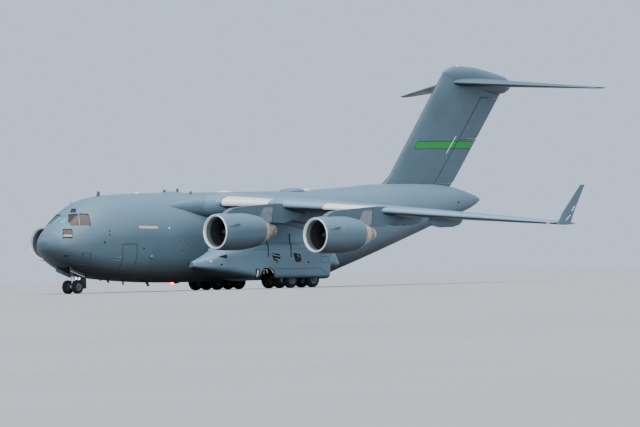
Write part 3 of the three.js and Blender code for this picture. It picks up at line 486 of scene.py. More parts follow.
# Node graphs of the materials
class Graph:
    """A material's nodes, built up from its coordinates"""

    def __init__(self, name, color, roughness, metallic=0.0):
        self.material = bpy.data.materials.new(name)
        self.material.use_nodes = True
        self.material.diffuse_color = (*color, 1)
        self.tree = self.material.node_tree
        self.shader = self.tree.nodes["Principled BSDF"]
        self.set("Base Color", (*color, 1))
        self.set("Roughness", roughness)
        self.set("Metallic", metallic)
        coordinates = self.node("ShaderNodeTexCoord").outputs
        self.places = coordinates["Object"]
        self.facing = coordinates["Normal"]

    def node(self, kind, **settings):
        made = self.tree.nodes.new(kind)
        for name, value in settings.items():
            setattr(made, name, value)
        return made

    def feed(self, socket, value):
        if isinstance(value, bpy.types.NodeSocket):
            self.tree.links.new(value, socket)
        else:
            socket.default_value = value

    def set(self, name, value):
        self.feed(self.shader.inputs[name], value)

    def math(self, operation, a, b=0.0):
        made = self.node("ShaderNodeMath", operation=operation)
        self.feed(made.inputs[0], a)
        self.feed(made.inputs[1], b)
        return made.outputs[0]

    def noise(self, scale, detail=4.0, stretch_by=(1, 1, 1)):
        mapping = self.node("ShaderNodeMapping")
        self.feed(mapping.inputs["Vector"], self.places)
        mapping.inputs["Scale"].default_value = stretch_by
        made = self.node("ShaderNodeTexNoise")
        self.feed(made.inputs["Vector"], mapping.outputs[0])
        made.inputs["Scale"].default_value = scale
        made.inputs["Detail"].default_value = detail
        return made.outputs["Fac"]

    def ramp(self, value, low, high, start=0.0, end=1.0):
        made = self.node("ShaderNodeMapRange", clamp=True)
        self.feed(made.inputs["Value"], value)
        for name, number in (("From Min", low), ("From Max", high), ("To Min", start), ("To Max", end)):
            made.inputs[name].default_value = number
        return made.outputs["Result"]

    def mix(self, factor, a, b):
        made = self.node("ShaderNodeMix", data_type="RGBA")
        self.feed(made.inputs["Factor"], factor)
        self.feed(made.inputs["A"], a if isinstance(a, bpy.types.NodeSocket) else (*a, 1))
        self.feed(made.inputs["B"], b if isinstance(b, bpy.types.NodeSocket) else (*b, 1))
        return made.outputs["Result"]

    def split(self, vector):
        made = self.node("ShaderNodeSeparateXYZ")
        self.feed(made.inputs[0], vector)
        return made.outputs

    def bump(self, height, strength, distance):
        made = self.node("ShaderNodeBump")
        made.inputs["Strength"].default_value = strength
        made.inputs["Distance"].default_value = distance
        self.feed(made.inputs["Height"], height)
        self.set("Normal", made.outputs[0])


def tone(red, green, blue):
    """Linear colour of screen values from 0 to 255"""
    return tuple(((value / 255 + 0.055) / 1.055) ** 2.4 for value in (red, green, blue))


def scaled(color, by):
    return tuple(value * by for value in color)


# Aircraft paint, the painted shade on what looks down, how much brighter the painted light makes what looks
# up, and the painted shade that darkens the hull between two heights towards its bottom
PAINT = tone(76, 98, 111)
PAINTED_UNDERSIDE_SHADE = tone(8, 17, 18)
PAINTED_TOP_LIGHT = 1.82
HULL_LOW_SHADE_TONE = tone(22, 46, 54)
HULL_LOW_SHADE = {"bottom": 1.0, "top": 4.3, "most": 0.75}
# Panel seams: half line width in model metres, how strongly they show, their shade, and half the spacings of
# each pattern. The hull's radius in model metres turns the line width into an angle
LINE_WIDTH = 0.006
LINE_DEPTH = 0.28
SEAM_SHADE = 0.3
SPACING = {"hull": 0.62, "hull_turn": math.pi / 10, "span": 0.7, "chord": 0.55, "fin_height": 0.47,
           "fin_chord": 0.6, "cowl": 0.5}
HULL_MODEL_RADIUS = 1.7
WING_SWEEP = 0.48

# Green band on the fin. Heights and stations of its middle, and the lean of its front edge with the fin
BAND = {"middle": 10.665, "half": 0.285, "edge": 0.03, "front": 41.5, "lean": 0.838}
BAND_GREEN = tone(2, 126, 46)
BAND_EDGE = tone(26, 40, 38)


def seams(graph, distances):
    """Mask of the seams between panels, from coordinates and their spacings"""
    mask = 0.0
    for value, spacing, width in distances:
        near = graph.math("PINGPONG", value, spacing)
        mask = graph.math("MAXIMUM", mask, graph.math("LESS_THAN", near, width))
    return mask


def painted_facing_light(graph, color, bright):
    """Colour with painted light on faces that look up, and painted shade that turns dark on faces that look
    down
    """
    _, _, up = graph.split(graph.facing)
    top_lit = graph.mix(graph.ramp(up, 0.0, 0.9), color, bright)
    return graph.mix(graph.ramp(up, -0.9, -0.25, 0.98, 0.0), top_lit, PAINTED_UNDERSIDE_SHADE)


def painted_low_shade(graph, z, color):
    """Colour with painted shade, turning darker teal towards the bottom of the hull"""
    amount = graph.ramp(z, HULL_LOW_SHADE["bottom"] * SCALE, HULL_LOW_SHADE["top"] * SCALE, HULL_LOW_SHADE["most"], 0.0)
    return graph.mix(amount, color, HULL_LOW_SHADE_TONE)


def banded(graph, x, z, color):
    """Green band with thin dark edges, from a little behind the fin's leading edge to its rear"""
    across = graph.math("ABSOLUTE", graph.math("SUBTRACT", z, BAND["middle"] * SCALE))
    beside = graph.math("SUBTRACT", across, BAND["half"] * SCALE)
    limit = at(BAND["front"] - BAND["lean"] * BAND["middle"], 0, 0).x
    before = graph.math("SUBTRACT", graph.math("ADD", x, graph.math("MULTIPLY", z, BAND["lean"])), limit)
    outside = graph.math("MAXIMUM", beside, before)
    color = graph.mix(graph.math("LESS_THAN", outside, 0.0), color, BAND_GREEN)
    near_edge = graph.math("LESS_THAN", graph.math("ABSOLUTE", outside), BAND["edge"] * SCALE)
    return graph.mix(near_edge, color, BAND_EDGE)


def painted(name, color, pattern):
    """Matt paint with cloudy fading, rain streaks and panel seams; off the fin also painted light and shade
    """
    graph = Graph(name, color, 0.55)
    x, y, z = graph.split(graph.places)
    if pattern == "hull":
        height = graph.math("SUBTRACT", z, HULL_CENTRE_HEIGHT * SCALE)
        round_it = graph.math("ARCTAN2", height, y)
        turn_width = LINE_WIDTH / HULL_MODEL_RADIUS
        distances = ((x, SPACING["hull"], LINE_WIDTH), (round_it, SPACING["hull_turn"], turn_width))
    elif pattern == "wing":
        out = graph.math("ABSOLUTE", y)
        along = graph.math("ADD", x, graph.math("MULTIPLY", out, WING_SWEEP))
        distances = ((out, SPACING["span"], LINE_WIDTH), (along, SPACING["chord"], LINE_WIDTH))
    elif pattern == "fin":
        along = graph.math("ADD", x, graph.math("MULTIPLY", z, BAND["lean"]))
        distances = ((z, SPACING["fin_height"], LINE_WIDTH), (along, SPACING["fin_chord"], LINE_WIDTH))
    else:
        distances = ((x, SPACING["cowl"], LINE_WIDTH),)
    mask = seams(graph, distances)
    cloud = graph.noise(0.8, 5.0)
    shade = graph.mix(graph.ramp(cloud, 0.35, 0.7), scaled(color, 0.9), scaled(color, 1.08))
    streak = graph.noise(5.0, 3.0, (2.2, 2.2, 0.35))
    shade = graph.mix(graph.ramp(streak, 0.55, 0.8, 0.0, 0.2), shade, scaled(color, 0.62))
    if pattern == "fin":
        shade = banded(graph, x, z, shade)
    else:
        if pattern == "hull":
            # Painted shade, darker teal towards the bottom of the hull
            shade = painted_low_shade(graph, z, shade)
        # Painted light on faces that look up and painted shade on faces that look down
        shade = painted_facing_light(graph, shade, scaled(color, PAINTED_TOP_LIGHT))
    lines = graph.math("MULTIPLY", mask, LINE_DEPTH)
    graph.set("Base Color", graph.mix(lines, shade, scaled(color, SEAM_SHADE)))
    graph.set("Roughness", graph.ramp(cloud, 0.3, 0.75, 0.42, 0.62))
    grain = graph.noise(60.0, 2.0)
    graph.bump(graph.math("SUBTRACT", graph.math("MULTIPLY", grain, 0.12), mask), 0.3, 0.003)
    return graph.material


def worn(name, color, roughness, metallic, dirt, grain=30.0):
    """Plain finish with patches of dirt and a fine grain"""
    graph = Graph(name, color, roughness, metallic)
    patch = graph.noise(3.5, 5.0)
    graph.set("Base Color", graph.mix(graph.ramp(patch, 0.45, 0.75, 0.0, dirt), color, scaled(color, 0.45)))
    graph.set("Roughness", graph.ramp(patch, 0.3, 0.8, roughness * 0.85, min(roughness * 1.3, 1.0)))
    graph.bump(graph.noise(grain, 3.0), 0.15, 0.003)
    return graph.material


def heated(name):
    """Bare nozzle metal with straw and brown heat bands along its length"""
    graph = Graph(name, tone(150, 134, 120), 0.42, 0.6)
    x, _, _ = graph.split(graph.places)
    rings = graph.noise(1.0, 3.0, (9.0, 0.6, 0.6))
    color = graph.mix(graph.ramp(rings, 0.35, 0.65), tone(126, 112, 102), tone(200, 184, 166))
    soot = graph.noise(8.0, 4.0)
    graph.set("Base Color", graph.mix(graph.ramp(soot, 0.5, 0.8, 0.0, 0.7), color, tone(52, 46, 43)))
    ridges = graph.math("PINGPONG", x, 0.03)
    graph.bump(graph.ramp(ridges, 0.0, 0.03), 0.3, 0.006)
    return graph.material


def glazed(name, color):
    """Tinted window glass"""
    graph = Graph(name, color, 0.12)
    graph.set("Transmission Weight", 0.08)
    graph.set("Specular IOR Level", 0.3)
    film = graph.noise(2.0, 2.0)
    graph.set("Base Color", graph.mix(graph.ramp(film, 0.35, 0.65), scaled(color, 0.8), scaled(color, 1.15)))
    graph.set("Roughness", graph.ramp(film, 0.4, 0.7, 0.08, 0.18))
    return graph.material


def lamp(name, color, strength):
    """Small ribbed glass that glows"""
    graph = Graph(name, color, 0.25)
    graph.set("Emission Color", (*color, 1))
    graph.set("Emission Strength", strength)
    graph.bump(graph.noise(80.0, 1.0), 0.2, 0.002)
    return graph.material


# Paints. Columns: finish, material, share of the paint's colour, pattern
PAINTS = (
    ("hull", "hull_paint", 1.0, "hull"), ("radome", "radome_paint", 0.9, "hull"),
    # The belly share is a lighter copy of the paint: painted light on the sponsons that the wing shades
    ("belly", "sponson_paint", 1.75, "belly"), ("fin", "fin_paint", 0.82, "fin"),
    # The slat share is a lighter copy of the wing paint: painted highlight along the leading edge
    ("wing", "wing_paint", 1.2, "wing"), ("slat", "slat_paint", 1.6, "wing"),
    ("bullet", "bullet_paint", 0.9, "cowl"), ("cowl", "cowl_paint", 0.96, "cowl"),
    ("trim", "trim_paint", 0.8, "cowl"), ("pylon", "pylon_paint", 0.8, "cowl"),
    # The tail share is a darker copy of the paint: painted shade on the stabiliser seen from below
    ("winglet", "winglet_paint", 1.1, "cowl"), ("tail", "stabiliser_paint", 0.66, "cowl"),
    # The door share is a darker copy of the paint: painted shade on the nose gear doors
    ("door", "door_paint", 0.3, "cowl"),
)
# Plain finishes. Columns: finish, material, screen colour, roughness, metal, dirt, grain where it is fine
PLAIN = (
    ("seal", "seal_rubber", (44, 56, 62), 0.7, 0.0, 0.4),
    ("lip", "lip_metal", (206, 213, 216), 0.32, 0.2, 0.25),
    ("strip", "edge_metal", (234, 226, 214), 0.36, 0.15, 0.15),
    ("lip_paint", "bare_panel", (122, 132, 138), 0.45, 0.3, 0.5),
    # Throat and liner darken inward: painted shade deep in the inlet
    ("throat", "inlet_throat", (92, 100, 102), 0.5, 0.1, 0.4),
    ("liner", "inlet_liner", (40, 46, 48), 0.55, 0.1, 0.5),
    ("blade", "blade_metal", (44, 48, 52), 0.4, 0.6, 0.3),
    ("spinner", "spinner_metal", (34, 37, 40), 0.4, 0.3, 0.3),
    ("tyre", "tyre_rubber", (10, 12, 14), 0.95, 0.0, 0.6, 90.0),
    ("hub", "hub_paint", (66, 76, 82), 0.55, 0.1, 0.6),
    ("gear", "gear_paint", (184, 190, 190), 0.42, 0.15, 0.5),
    ("steel", "bright_steel", (176, 180, 184), 0.2, 0.95, 0.15),
    # dark: painted shade in openings, vents, ports and recesses, and the instrument panel's own dark
    ("dark", "dark_opening", (20, 26, 29), 0.75, 0.0, 0.4),
    ("bay", "bay_paint", (52, 60, 62), 0.7, 0.0, 0.6),
    ("lining", "cabin_lining", (150, 152, 144), 0.75, 0.0, 0.3),
    ("floor", "floor_grip", (72, 74, 74), 0.8, 0.1, 0.5, 120.0),
    ("seat", "seat_fabric", (70, 66, 62), 0.9, 0.0, 0.3, 140.0),
    ("cream", "cream_strip", (178, 178, 160), 0.6, 0.0, 0.15),
    ("white", "white_plate", (226, 230, 230), 0.5, 0.0, 0.12),
)
finishes = {
    "nozzle": heated("nozzle_metal"),
    "glass": glazed("window_glass", tone(104, 160, 166)),
    "warm_glass": glazed("side_window_glass", tone(66, 50, 42)),
    "red_lamp": lamp("red_lamp", (0.95, 0.06, 0.02), 12.0),
    "nav_lamp": lamp("navigation_lamp", (0.75, 0.06, 0.05), 1.2),
    "green_lamp": lamp("green_lamp", (0.05, 0.6, 0.2), 1.2),
    "white_lamp": lamp("white_lamp", (0.85, 0.92, 0.95), 3.0),
}
for finish, material, share, pattern in PAINTS:
    finishes[finish] = painted(material, scaled(PAINT, share), pattern)
for finish, material, color, *values in PLAIN:
    finishes[finish] = worn(material, tone(*color), *values)


# Making and joining pieces
def finished(piece, finish, body):
    """Give a piece its finish and the body that it rides on"""
    if not piece.data.materials:
        piece.data.materials.append(finishes[finish])
    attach(piece, body)
    return piece


def linked(name, data):
    piece = bpy.data.objects.new(name, data)
    bpy.context.scene.collection.objects.link(piece)
    return piece


def welded(mesh):
    shape = bmesh.new()
    shape.from_mesh(mesh)
    bmesh.ops.remove_doubles(shape, verts=shape.verts, dist=WELD)
    return shape


def shaped(mesh, shape, sharp):
    """Put a shape into a mesh, with its faces turned out and smooth below an angle"""
    bmesh.ops.recalc_face_normals(shape, faces=shape.faces)
    shape.to_mesh(mesh)
    shape.free()
    mesh.polygons.foreach_set("use_smooth", [True] * len(mesh.polygons))
    mesh.set_sharp_from_angle(angle=math.radians(sharp))


body_of = {name: body for body, names in frame["record"]["behaviour"]["bodies"].items() for name in names}


def dress(node, finish, skins=(), sharp=32, lining=()):
    """Fine, smooth skin in place of a node, cut from the same shape"""
    mesh = frame["nodes"][node].data.copy()
    mesh.name = f"{node}_skin"
    normals = mesh.attributes.get("custom_normal")
    if normals:
        mesh.attributes.remove(normals)
    shape = welded(mesh)
    flat = math.radians(FLAT_DEGREES)
    bmesh.ops.dissolve_limit(shape, angle_limit=flat, verts=shape.verts, edges=shape.edges)
    for skin in skins:
        skin.refine(shape)
    bmesh.ops.triangulate(shape, faces=[face for face in shape.faces if len(face.verts) > 4])
    shaped(mesh, shape, sharp)
    mesh.materials.clear()
    mesh.materials.append(finishes[finish])
    if lining:
        line_inside(mesh, lining)
    piece = finished(linked(f"{node}_skin", mesh), finish, body_of[node])
    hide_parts(node)


def line_inside(mesh, names):
    """Other finishes for the faces inside the hull: walls, floors and the nose wheel bay"""
    for name in names:
        mesh.materials.append(finishes[name])
    centres = full_size([face.center for face in mesh.polygons])
    for face, (station, port, up) in zip(mesh.polygons, centres):
        _, off = nearest(np.array([[port, up]]), hull_skin.facets(station))
        if off[0] > LINING_DEPTH:
            in_bay = station < NOSE_BAY["rear"] and up < NOSE_BAY["top"]
            name = "bay" if in_bay else "floor" if face.normal.z > FLOOR_RISE else "lining"
            face.material_index = 1 + names.index(name)


def joined(low, high, count):
    """Faces between two rings of points"""
    return [(low + i, low + (i + 1) % count, high + (i + 1) % count, high + i) for i in range(count)]


def lofted(loops, closed=False, start=0):
    """Model points and faces through equal loops of full-size points, numbered from start.
    closed joins the last loop to the first"""
    rows, count = len(loops), len(loops[0])
    points = [at(*point) for loop in loops for point in loop]
    faces = []
    for row in range(rows if closed else rows - 1):
        faces += joined(start + row * count, start + (row + 1) % rows * count, count)
    if not closed:
        faces.append(tuple(start + i for i in reversed(range(count))))
        faces.append(tuple(start + (rows - 1) * count + i for i in range(count)))
    return points, faces


def solid(name, points, faces, finish, body=AIRFRAME, sharp=35):
    """Piece from model points and faces"""
    mesh = bpy.data.meshes.new(name)
    mesh.from_pydata([tuple(point) for point in points], [], faces)
    shaped(mesh, welded(mesh), sharp)
    return finished(linked(name, mesh), finish, body)


def loft(name, loops, finish, body=AIRFRAME, sharp=35, closed=False):
    """Piece drawn through equal loops of full-size points"""
    return solid(name, *lofted(loops, closed), finish, body, sharp)


def bundle(name, shapes, finish, body, sharp):
    """One piece of several lofts"""
    points, faces = [], []
    for loops in shapes:
        more_points, more_faces = lofted(loops, start=len(points))
        points += more_points
        faces += more_faces
    solid(name, points, faces, finish, body, sharp)


def toed(centre, along, across, up, toe):
    """Full-size place beside an axis that is turned by toe degrees: distances along it, across it and up"""
    turn = math.radians(toe)
    return centre + Vector((along * math.cos(turn) - across * math.sin(turn),
                            along * math.sin(turn) + across * math.cos(turn), up))


def lathe(name, outline, centre, toe, finish, body=AIRFRAME, sides=80, sharp=35):
    """Piece turned round an axis. The outline is a closed line of distances along it and radii"""
    loops = [[toed(centre, along, math.cos(angle) * radius, math.sin(angle) * radius, toe)
              for along, radius in outline] for angle in turns(sides)]
    return loft(name, loops, finish, body, sharp, closed=True)


def tube(name, points, radius, finish, body=AIRFRAME, sides=8, closed=False):
    """Round bar along a line of full-size points. It tapers where radius is a list"""
    path = [Vector(point) for point in points]
    loops = []
    for i, point in enumerate(path):
        before = path[i - 1] if closed or i else point
        after = path[(i + 1) % len(path)] if closed or i + 1 < len(path) else point
        run = (after - before).normalized()
        guide = Vector((0, 0, 1)) if abs(run.z) < 0.9 else Vector((1, 0, 0))
        first = run.cross(guide).normalized()
        second = run.cross(first)
        size = radius[i] if isinstance(radius, (list, tuple)) else radius
        loops.append([point + first * math.cos(angle) * size + second * math.sin(angle) * size
                      for angle in turns(sides)])
    loft(name, loops, finish, body, TUBE_SHARP, closed)


def web(name, outline, ports, finish, body=AIRFRAME, sharp=30):
    """Upright piece between ports. The outline is stations and heights"""
    loops = [[(station, port, up) for station, up in outline] for port in ports]
    loft(name, loops, finish, body, sharp)


# Places on surfaces, from two numbers, a distance out of the surface and a side
def ray_on_hull(station, degrees, out=0.0, side=1):
    """Place on the upper hull at degrees up from its widest height"""
    top, _, half, widest, _ = hull_skin.lines.smooth(station)
    angle = math.radians(degrees)
    port = side * math.cos(angle) * (half + out)
    return Vector((station, port, widest + math.sin(angle) * (top - widest + out)))


def side_of_hull(station, up, out=0.0, side=1):
    """Place on the hull's side at a height"""
    loop = hull_section(hull_skin.lines.smooth(station), SIDE_ANGLES)
    heights = (up, up + LEAN_STEP, up - LEAN_STEP)
    port, over, under = (float(np.interp(height, loop[:, 1], loop[:, 0])) for height in heights)
    lean = math.atan2(over - under, 2 * LEAN_STEP)
    return Vector((station, side * (port + out * math.cos(lean)), up - out * math.sin(lean)))


def side_of_sponson(station, up, out=0.0, side=1):
    """Place on the sponson's outer side at a height"""
    centre, half, top, bottom, lower = sponson_skin.lines.straight(station)
    rise = (up - (top + bottom) / 2) / ((top - bottom) / 2)
    squareness = SPONSON_SQUARENESS if rise > 0 else lower
    reach = half * max(1 - abs(rise) ** squareness, 0.0) ** (1 / squareness)
    return Vector((station, side * (centre + reach + out), up))


def shell(name, ring, place, levels, rings, finish, sharp):
    """Thin piece between two levels of a surface. ring gives its edge at a share of its size"""
    count = len(ring(1.0))
    points, faces = [], []
    for level in levels:
        base = len(points)
        for step in range(rings):
            points += [at(*place(*spot, level)) for spot in ring(1 - step / rings)]
        points.append(at(*place(*ring(0.0)[0], level)))
        for step in range(rings - 1):
            faces += joined(base + step * count, base + (step + 1) * count, count)
        low, tip = base + (rings - 1) * count, base + rings * count
        faces += [(low + i, low + (i + 1) % count, tip) for i in range(count)]
    faces += joined(0, rings * count + 1, count)
    return solid(name, points, faces, finish, AIRFRAME, sharp)


def plate(name, corners, finish, place=side_of_hull, out=0.012, side=1):
    """Thin rounded plate that follows a surface. Corners run round it, in the surface's two numbers"""
    a, b, c, d = (np.array(corner, float) for corner in corners)

    def ring(share):
        spots = []
        for angle in turns(PLATE_STEPS):
            u = powered(math.cos(angle), 2 / PLATE_SQUARENESS) * share
            v = powered(math.sin(angle), 2 / PLATE_SQUARENESS) * share
            s, t = (u + 1) / 2, (v + 1) / 2
            spots.append(a * (1 - s) * (1 - t) + b * s * (1 - t) + c * s * t + d * (1 - s) * t)
        return spots

    def on_surface(first, second, level):
        return place(first, second, level, side)

    shell(name, ring, on_surface, (out, -PLATE_DEPTH), PLATE_RINGS, finish, 40)


def divided(corners, cuts):
    """Corners of a closed outline with even steps between them"""
    spots = []
    for i, corner in enumerate(corners):
        first, last = np.array(corner), np.array(corners[(i + 1) % len(corners)])
        spots += [first * (1 - step / cuts) + last * (step / cuts) for step in range(cuts)]
    return spots


# Hull, sponsons and doors
HULL_LINING = ("lining", "floor", "bay")
dress("radome", "radome", [hull_skin])
for node in ("forward_fuselage", "front_barrel", "centre_barrel", "aft_fuselage", "tail_cone", "crew_door",
             "cargo_ramp", "cargo_door"):
    dress(node, "hull", [hull_skin], lining=HULL_LINING)
dress("wing_centre_section", "hull", [hull_skin])
for side_name, side in SIDES:
    dress(f"sponson_{side_name}", "belly", [MirroredSkin(sponson_skin, side)])
for name, finish in (("port", "door"), ("starboard", "lip_paint"), ("aft", "door")):
    dress(f"nose_door_{name}", finish)

# Wings and tail
WING_SHARP = 50
TAIL_SHARP = 38
for side_name, side in SIDES:
    pods = [MirroredSkin(fairing_skin(row), side) for row in FAIRINGS]
    dress(f"wing_{side_name}", "wing", [wing_skin, *pods, MirroredSkin(shoulder_skin, side)], WING_SHARP)
    dress(f"flap_inboard_{side_name}", "wing", [wing_skin, *pods], WING_SHARP)
    dress(f"flap_outboard_{side_name}", "wing", [wing_skin], WING_SHARP)
    dress(f"winglet_{side_name}", "winglet", (), WING_SHARP)
    dress(f"aileron_{side_name}", "wing", [wing_skin], TAIL_SHARP)
    dress(f"elevator_{side_name}", "tail", [stabiliser_skin], TAIL_SHARP)
dress("stabiliser", "tail", [stabiliser_skin], TAIL_SHARP)
for node in ("fin", "rudder_lower", "rudder_upper"):
    dress(node, "fin", [fin_skin], TAIL_SHARP)
dress("tail_bullet", "bullet", [bullet_skin])

# Thin fixed webs in the slits over and under the rudders, at the fin's middle plane.
# Columns: name, heights at the hinge from below, and how far the lower edge falls towards the rear
RUDDER_WEBS = (("bottom", 7.69, 7.722, 0.0), ("middle", 11.065, 11.171, 0.085), ("top", 14.315, 14.37, 0.085))
# Thin strips under the rudders that close the slits above the webs. Columns: rudder, heights from below
RUDDER_STRIPS = (("rudder_lower", 7.732, 7.79), ("rudder_upper", 11.181, 11.23))
# Chord shares where webs and strips start, and their distances before the trailing edge
WEB_START, WEB_END = 0.69, 0.06
STRIP_START, STRIP_END = 0.735, 0.08
WEB_PORTS = (-0.03, 0.03)
for name, low, high, fall in RUDDER_WEBS:
    front, chord, _ = fin_skin.lines.straight((low + high) / 2)
    start, end = front + WEB_START * chord, front + chord - WEB_END
    web(f"rudder_web_{name}", ((start, low), (end, low - fall), (end, high), (start, high)), WEB_PORTS, "fin")
for name, low, high in RUDDER_STRIPS:
    front, chord, _ = fin_skin.lines.straight(low)
    start, end = front + STRIP_START * chord, front + chord - STRIP_END
    outline = ((start, low), (end, low), (end, high), (start, high))
    web(f"{name}_strip", outline, WEB_PORTS, "fin", body_of[name])

# Engines: cowls, liners, cores and fans. Outlines are distances aft of the inlet and radii
LIP = ((0.06, 1.275), (0.03, 1.256), (0.008, 1.234), (0.0, 1.21), (0.015, 1.18), (0.06, 1.145), (0.16, 1.11),
       (0.2, 1.104), (0.2, 1.14), (0.1, 1.2))
COWL = ((0.064, 1.277), (0.12, 1.296), (0.2, 1.312), (0.3, 1.33), (0.6, 1.355), (1.0, 1.37), (1.7, 1.376),
        (2.4, 1.37), (2.9, 1.334), (3.28, 1.291), (3.284, 1.283), (3.3, 1.281), (3.304, 1.288), (3.5, 1.26),
        (3.6, 1.245), (3.604, 1.237), (3.62, 1.234), (3.624, 1.241), (4.0, 1.163), (4.4, 1.07),
        (4.398, 1.045), (3.6, 1.075), (2.8, 1.113), (1.4, 1.09), (0.345, 1.12), (0.204, 1.15), (0.104, 1.21))
COWL_EDGE = ((4.24, 1.108), (4.3, 1.1), (4.404, 1.076), (4.41, 1.05), (4.39, 1.04), (4.24, 1.06))
THROAT = ((0.203, 1.103), (0.3, 1.09), (0.5, 1.074), (0.56, 1.07), (0.56, 1.082), (0.34, 1.1), (0.203, 1.13))
LINER = ((0.564, 1.07), (1.2, 1.04), (1.9, 1.065), (2.8, 1.1), (3.6, 1.062), (4.39, 1.03),
         (4.388, 1.043), (3.6, 1.073), (2.8, 1.111), (1.2, 1.06), (0.564, 1.082))
CORE = ((1.75, 0.0), (1.75, 0.62), (2.4, 0.71), (3.2, 0.78), (4.0, 0.8), (4.4, 0.8), (4.8, 0.764),
        (5.19, 0.72), (5.2, 0.7), (5.14, 0.68), (5.12, 0.6), (5.16, 0.55), (5.24, 0.54), (5.4, 0.514),
        (5.41, 0.5), (5.44, 0.498), (5.45, 0.506), (5.66, 0.472), (5.67, 0.458), (5.7, 0.456), (5.71, 0.465),
        (5.95, 0.42), (5.94, 0.4), (5.7, 0.42), (5.6, 0.3), (5.75, 0.18), (5.93, 0.04), (5.95, 0.0))
SPINNER = ((0.8, 0.0), (0.815, 0.06), (0.87, 0.14), (1.0, 0.24), (1.14, 0.31), (1.25, 0.345), (1.55, 0.35),
           (1.55, 0.0))
COWL_RINGS = (("inlet_lip", LIP, "lip"), ("cowl_edge", COWL_EDGE, "lip_paint"),
              ("inlet_throat", THROAT, "throat"), ("inlet_liner", LINER, "liner"))
STRAKE = ((0.12, 0.0), (0.4, 0.06), (0.8, 0.14), (1.15, 0.2), (1.3, 0.2), (1.38, 0.0))
STRAKE_LEAN = {"front": 16.0, "rear": 22.0, "half_thickness": 0.028, "sunk": 0.01}
PYLON = {"outward": 0.2, "half_breadth": 0.24}
PYLON_SEAM = ((5.9, 0.64), (5.95, 1.1), (6.05, 1.9))
PYLON_PANEL = ((4.5, 0.6), (5.8, 0.66), (5.9, 1.2), (5.98, 1.74), (5.0, 1.7), (4.6, 1.2))
PYLON_PANEL_OUT = (-0.02, 0.006)
# Columns: count, root and tip radius, station of the front, chord, thickness, degrees at the root and the tip
FAN_BLADES = (24, 0.32, 1.0, 1.27, 0.26, 0.018, 25, 62)
STATORS = (28, 0.6, 1.06, 1.9, 0.22, 0.014, 12, 20)
# Shares of the chord and of the thickness round a blade
BLADE_SECTION = ((-0.5, 0), (-0.15, 1), (0.25, 0.8), (0.5, 0), (0.25, -0.3), (-0.15, -0.2))
BLADE_ROWS = 6


def blades(name, centre, toe, finish, body, sizes):
    """Ring of twisted blades as one piece"""
    count, root, tip, front, chord, thick, first, last = sizes
    shapes = []
    for turn in turns(count):
        loops = []
        for span in np.linspace(root, tip, BLADE_ROWS):
            share = (span - root) / (tip - root)
            lean = math.radians(first + (last - first) * share)
            loop = []
            for u, v in BLADE_SECTION:
                along = u * chord * math.cos(lean) - v * thick * math.sin(lean)
                sweep = u * chord * math.sin(lean) + v * thick * math.cos(lean)
                angle = turn + sweep / span
                across, up = math.cos(angle) * span, math.sin(angle) * span
                loop.append(toed(centre, front + chord / 2 + along, across, up, toe))
            loops.append(loop)
        shapes.append(loops)
    bundle(name, shapes, finish, body, 45)


def strake(name, centre, toe, mirrored):
    """Thin fin on a cowl's shoulder"""
    first, last = STRAKE[0][0], STRAKE[-1][0]
    stations, radii = np.array(COWL[:8]).T
    loops = []
    for sign in (-1, 1):
        loop = []
        for along, rise in STRAKE:
            share = (along - first) / (last - first)
            lean = STRAKE_LEAN["front"] + (STRAKE_LEAN["rear"] - STRAKE_LEAN["front"]) * share
            foot = float(np.interp(along, stations, radii)) - STRAKE_LEAN["sunk"]
            turn = sign * STRAKE_LEAN["half_thickness"] / foot
            angle = math.radians(180 - lean if mirrored else lean) + turn
            radius = foot + rise
            loop.append(toed(centre, along, math.cos(angle) * radius, math.sin(angle) * radius, toe))
        loops.append(loop)
    loft(name, loops, "trim", sharp=30)


for side_name, side in SIDES:
    toe = side * TOE_IN
    for engine, half, inlet, height in ENGINES:
        tag = f"{engine}_{side_name}"
        fan = f"fan_{tag}"
        centre = Vector((inlet, side * half, height))
        cowl = lathe(f"cowl_{tag}", COWL, centre, toe, "cowl")
        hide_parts(f"fan_cowl_{tag}")
        for part, outline, finish in COWL_RINGS:
            lathe(f"{part}_{tag}", outline, centre, toe, finish)
        core = lathe(f"nozzle_{tag}", CORE, centre, toe, "nozzle", sides=64, sharp=28)
        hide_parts(f"core_{tag}")
        hub = lathe(f"spinner_{tag}", SPINNER, centre, toe, "spinner", fan, sides=40)
        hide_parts(fan)
        blades(f"blades_{tag}", centre, toe, "blade", fan, FAN_BLADES)
        # Stators in the liner's dark finish, painted shade in the inlet
        blades(f"stators_{tag}", centre, toe, "liner", AIRFRAME, STATORS)
        for beside, mirrored in (("port", False), ("starboard", True)):
            strake(f"strake_{beside}_{tag}", centre, toe, mirrored)
        dress(f"pylon_{tag}", "pylon", sharp=25)
        for hand, sign in (("right", -1), ("left", 1)):
            face = side * (half + PYLON["outward"]) + sign * PYLON["half_breadth"]
            seam = [(inlet + along, face + sign * 0.004, height + up) for along, up in PYLON_SEAM]
            tube(f"pylon_{hand}_{tag}_seam", seam, 0.014, "seal", sides=6)
            outline = [(inlet + along, height + up) for along, up in PYLON_PANEL]
            ports = [face + sign * out for out in PYLON_PANEL_OUT]
            web(f"pylon_{hand}_{tag}_panel", outline, ports, "lip_paint")

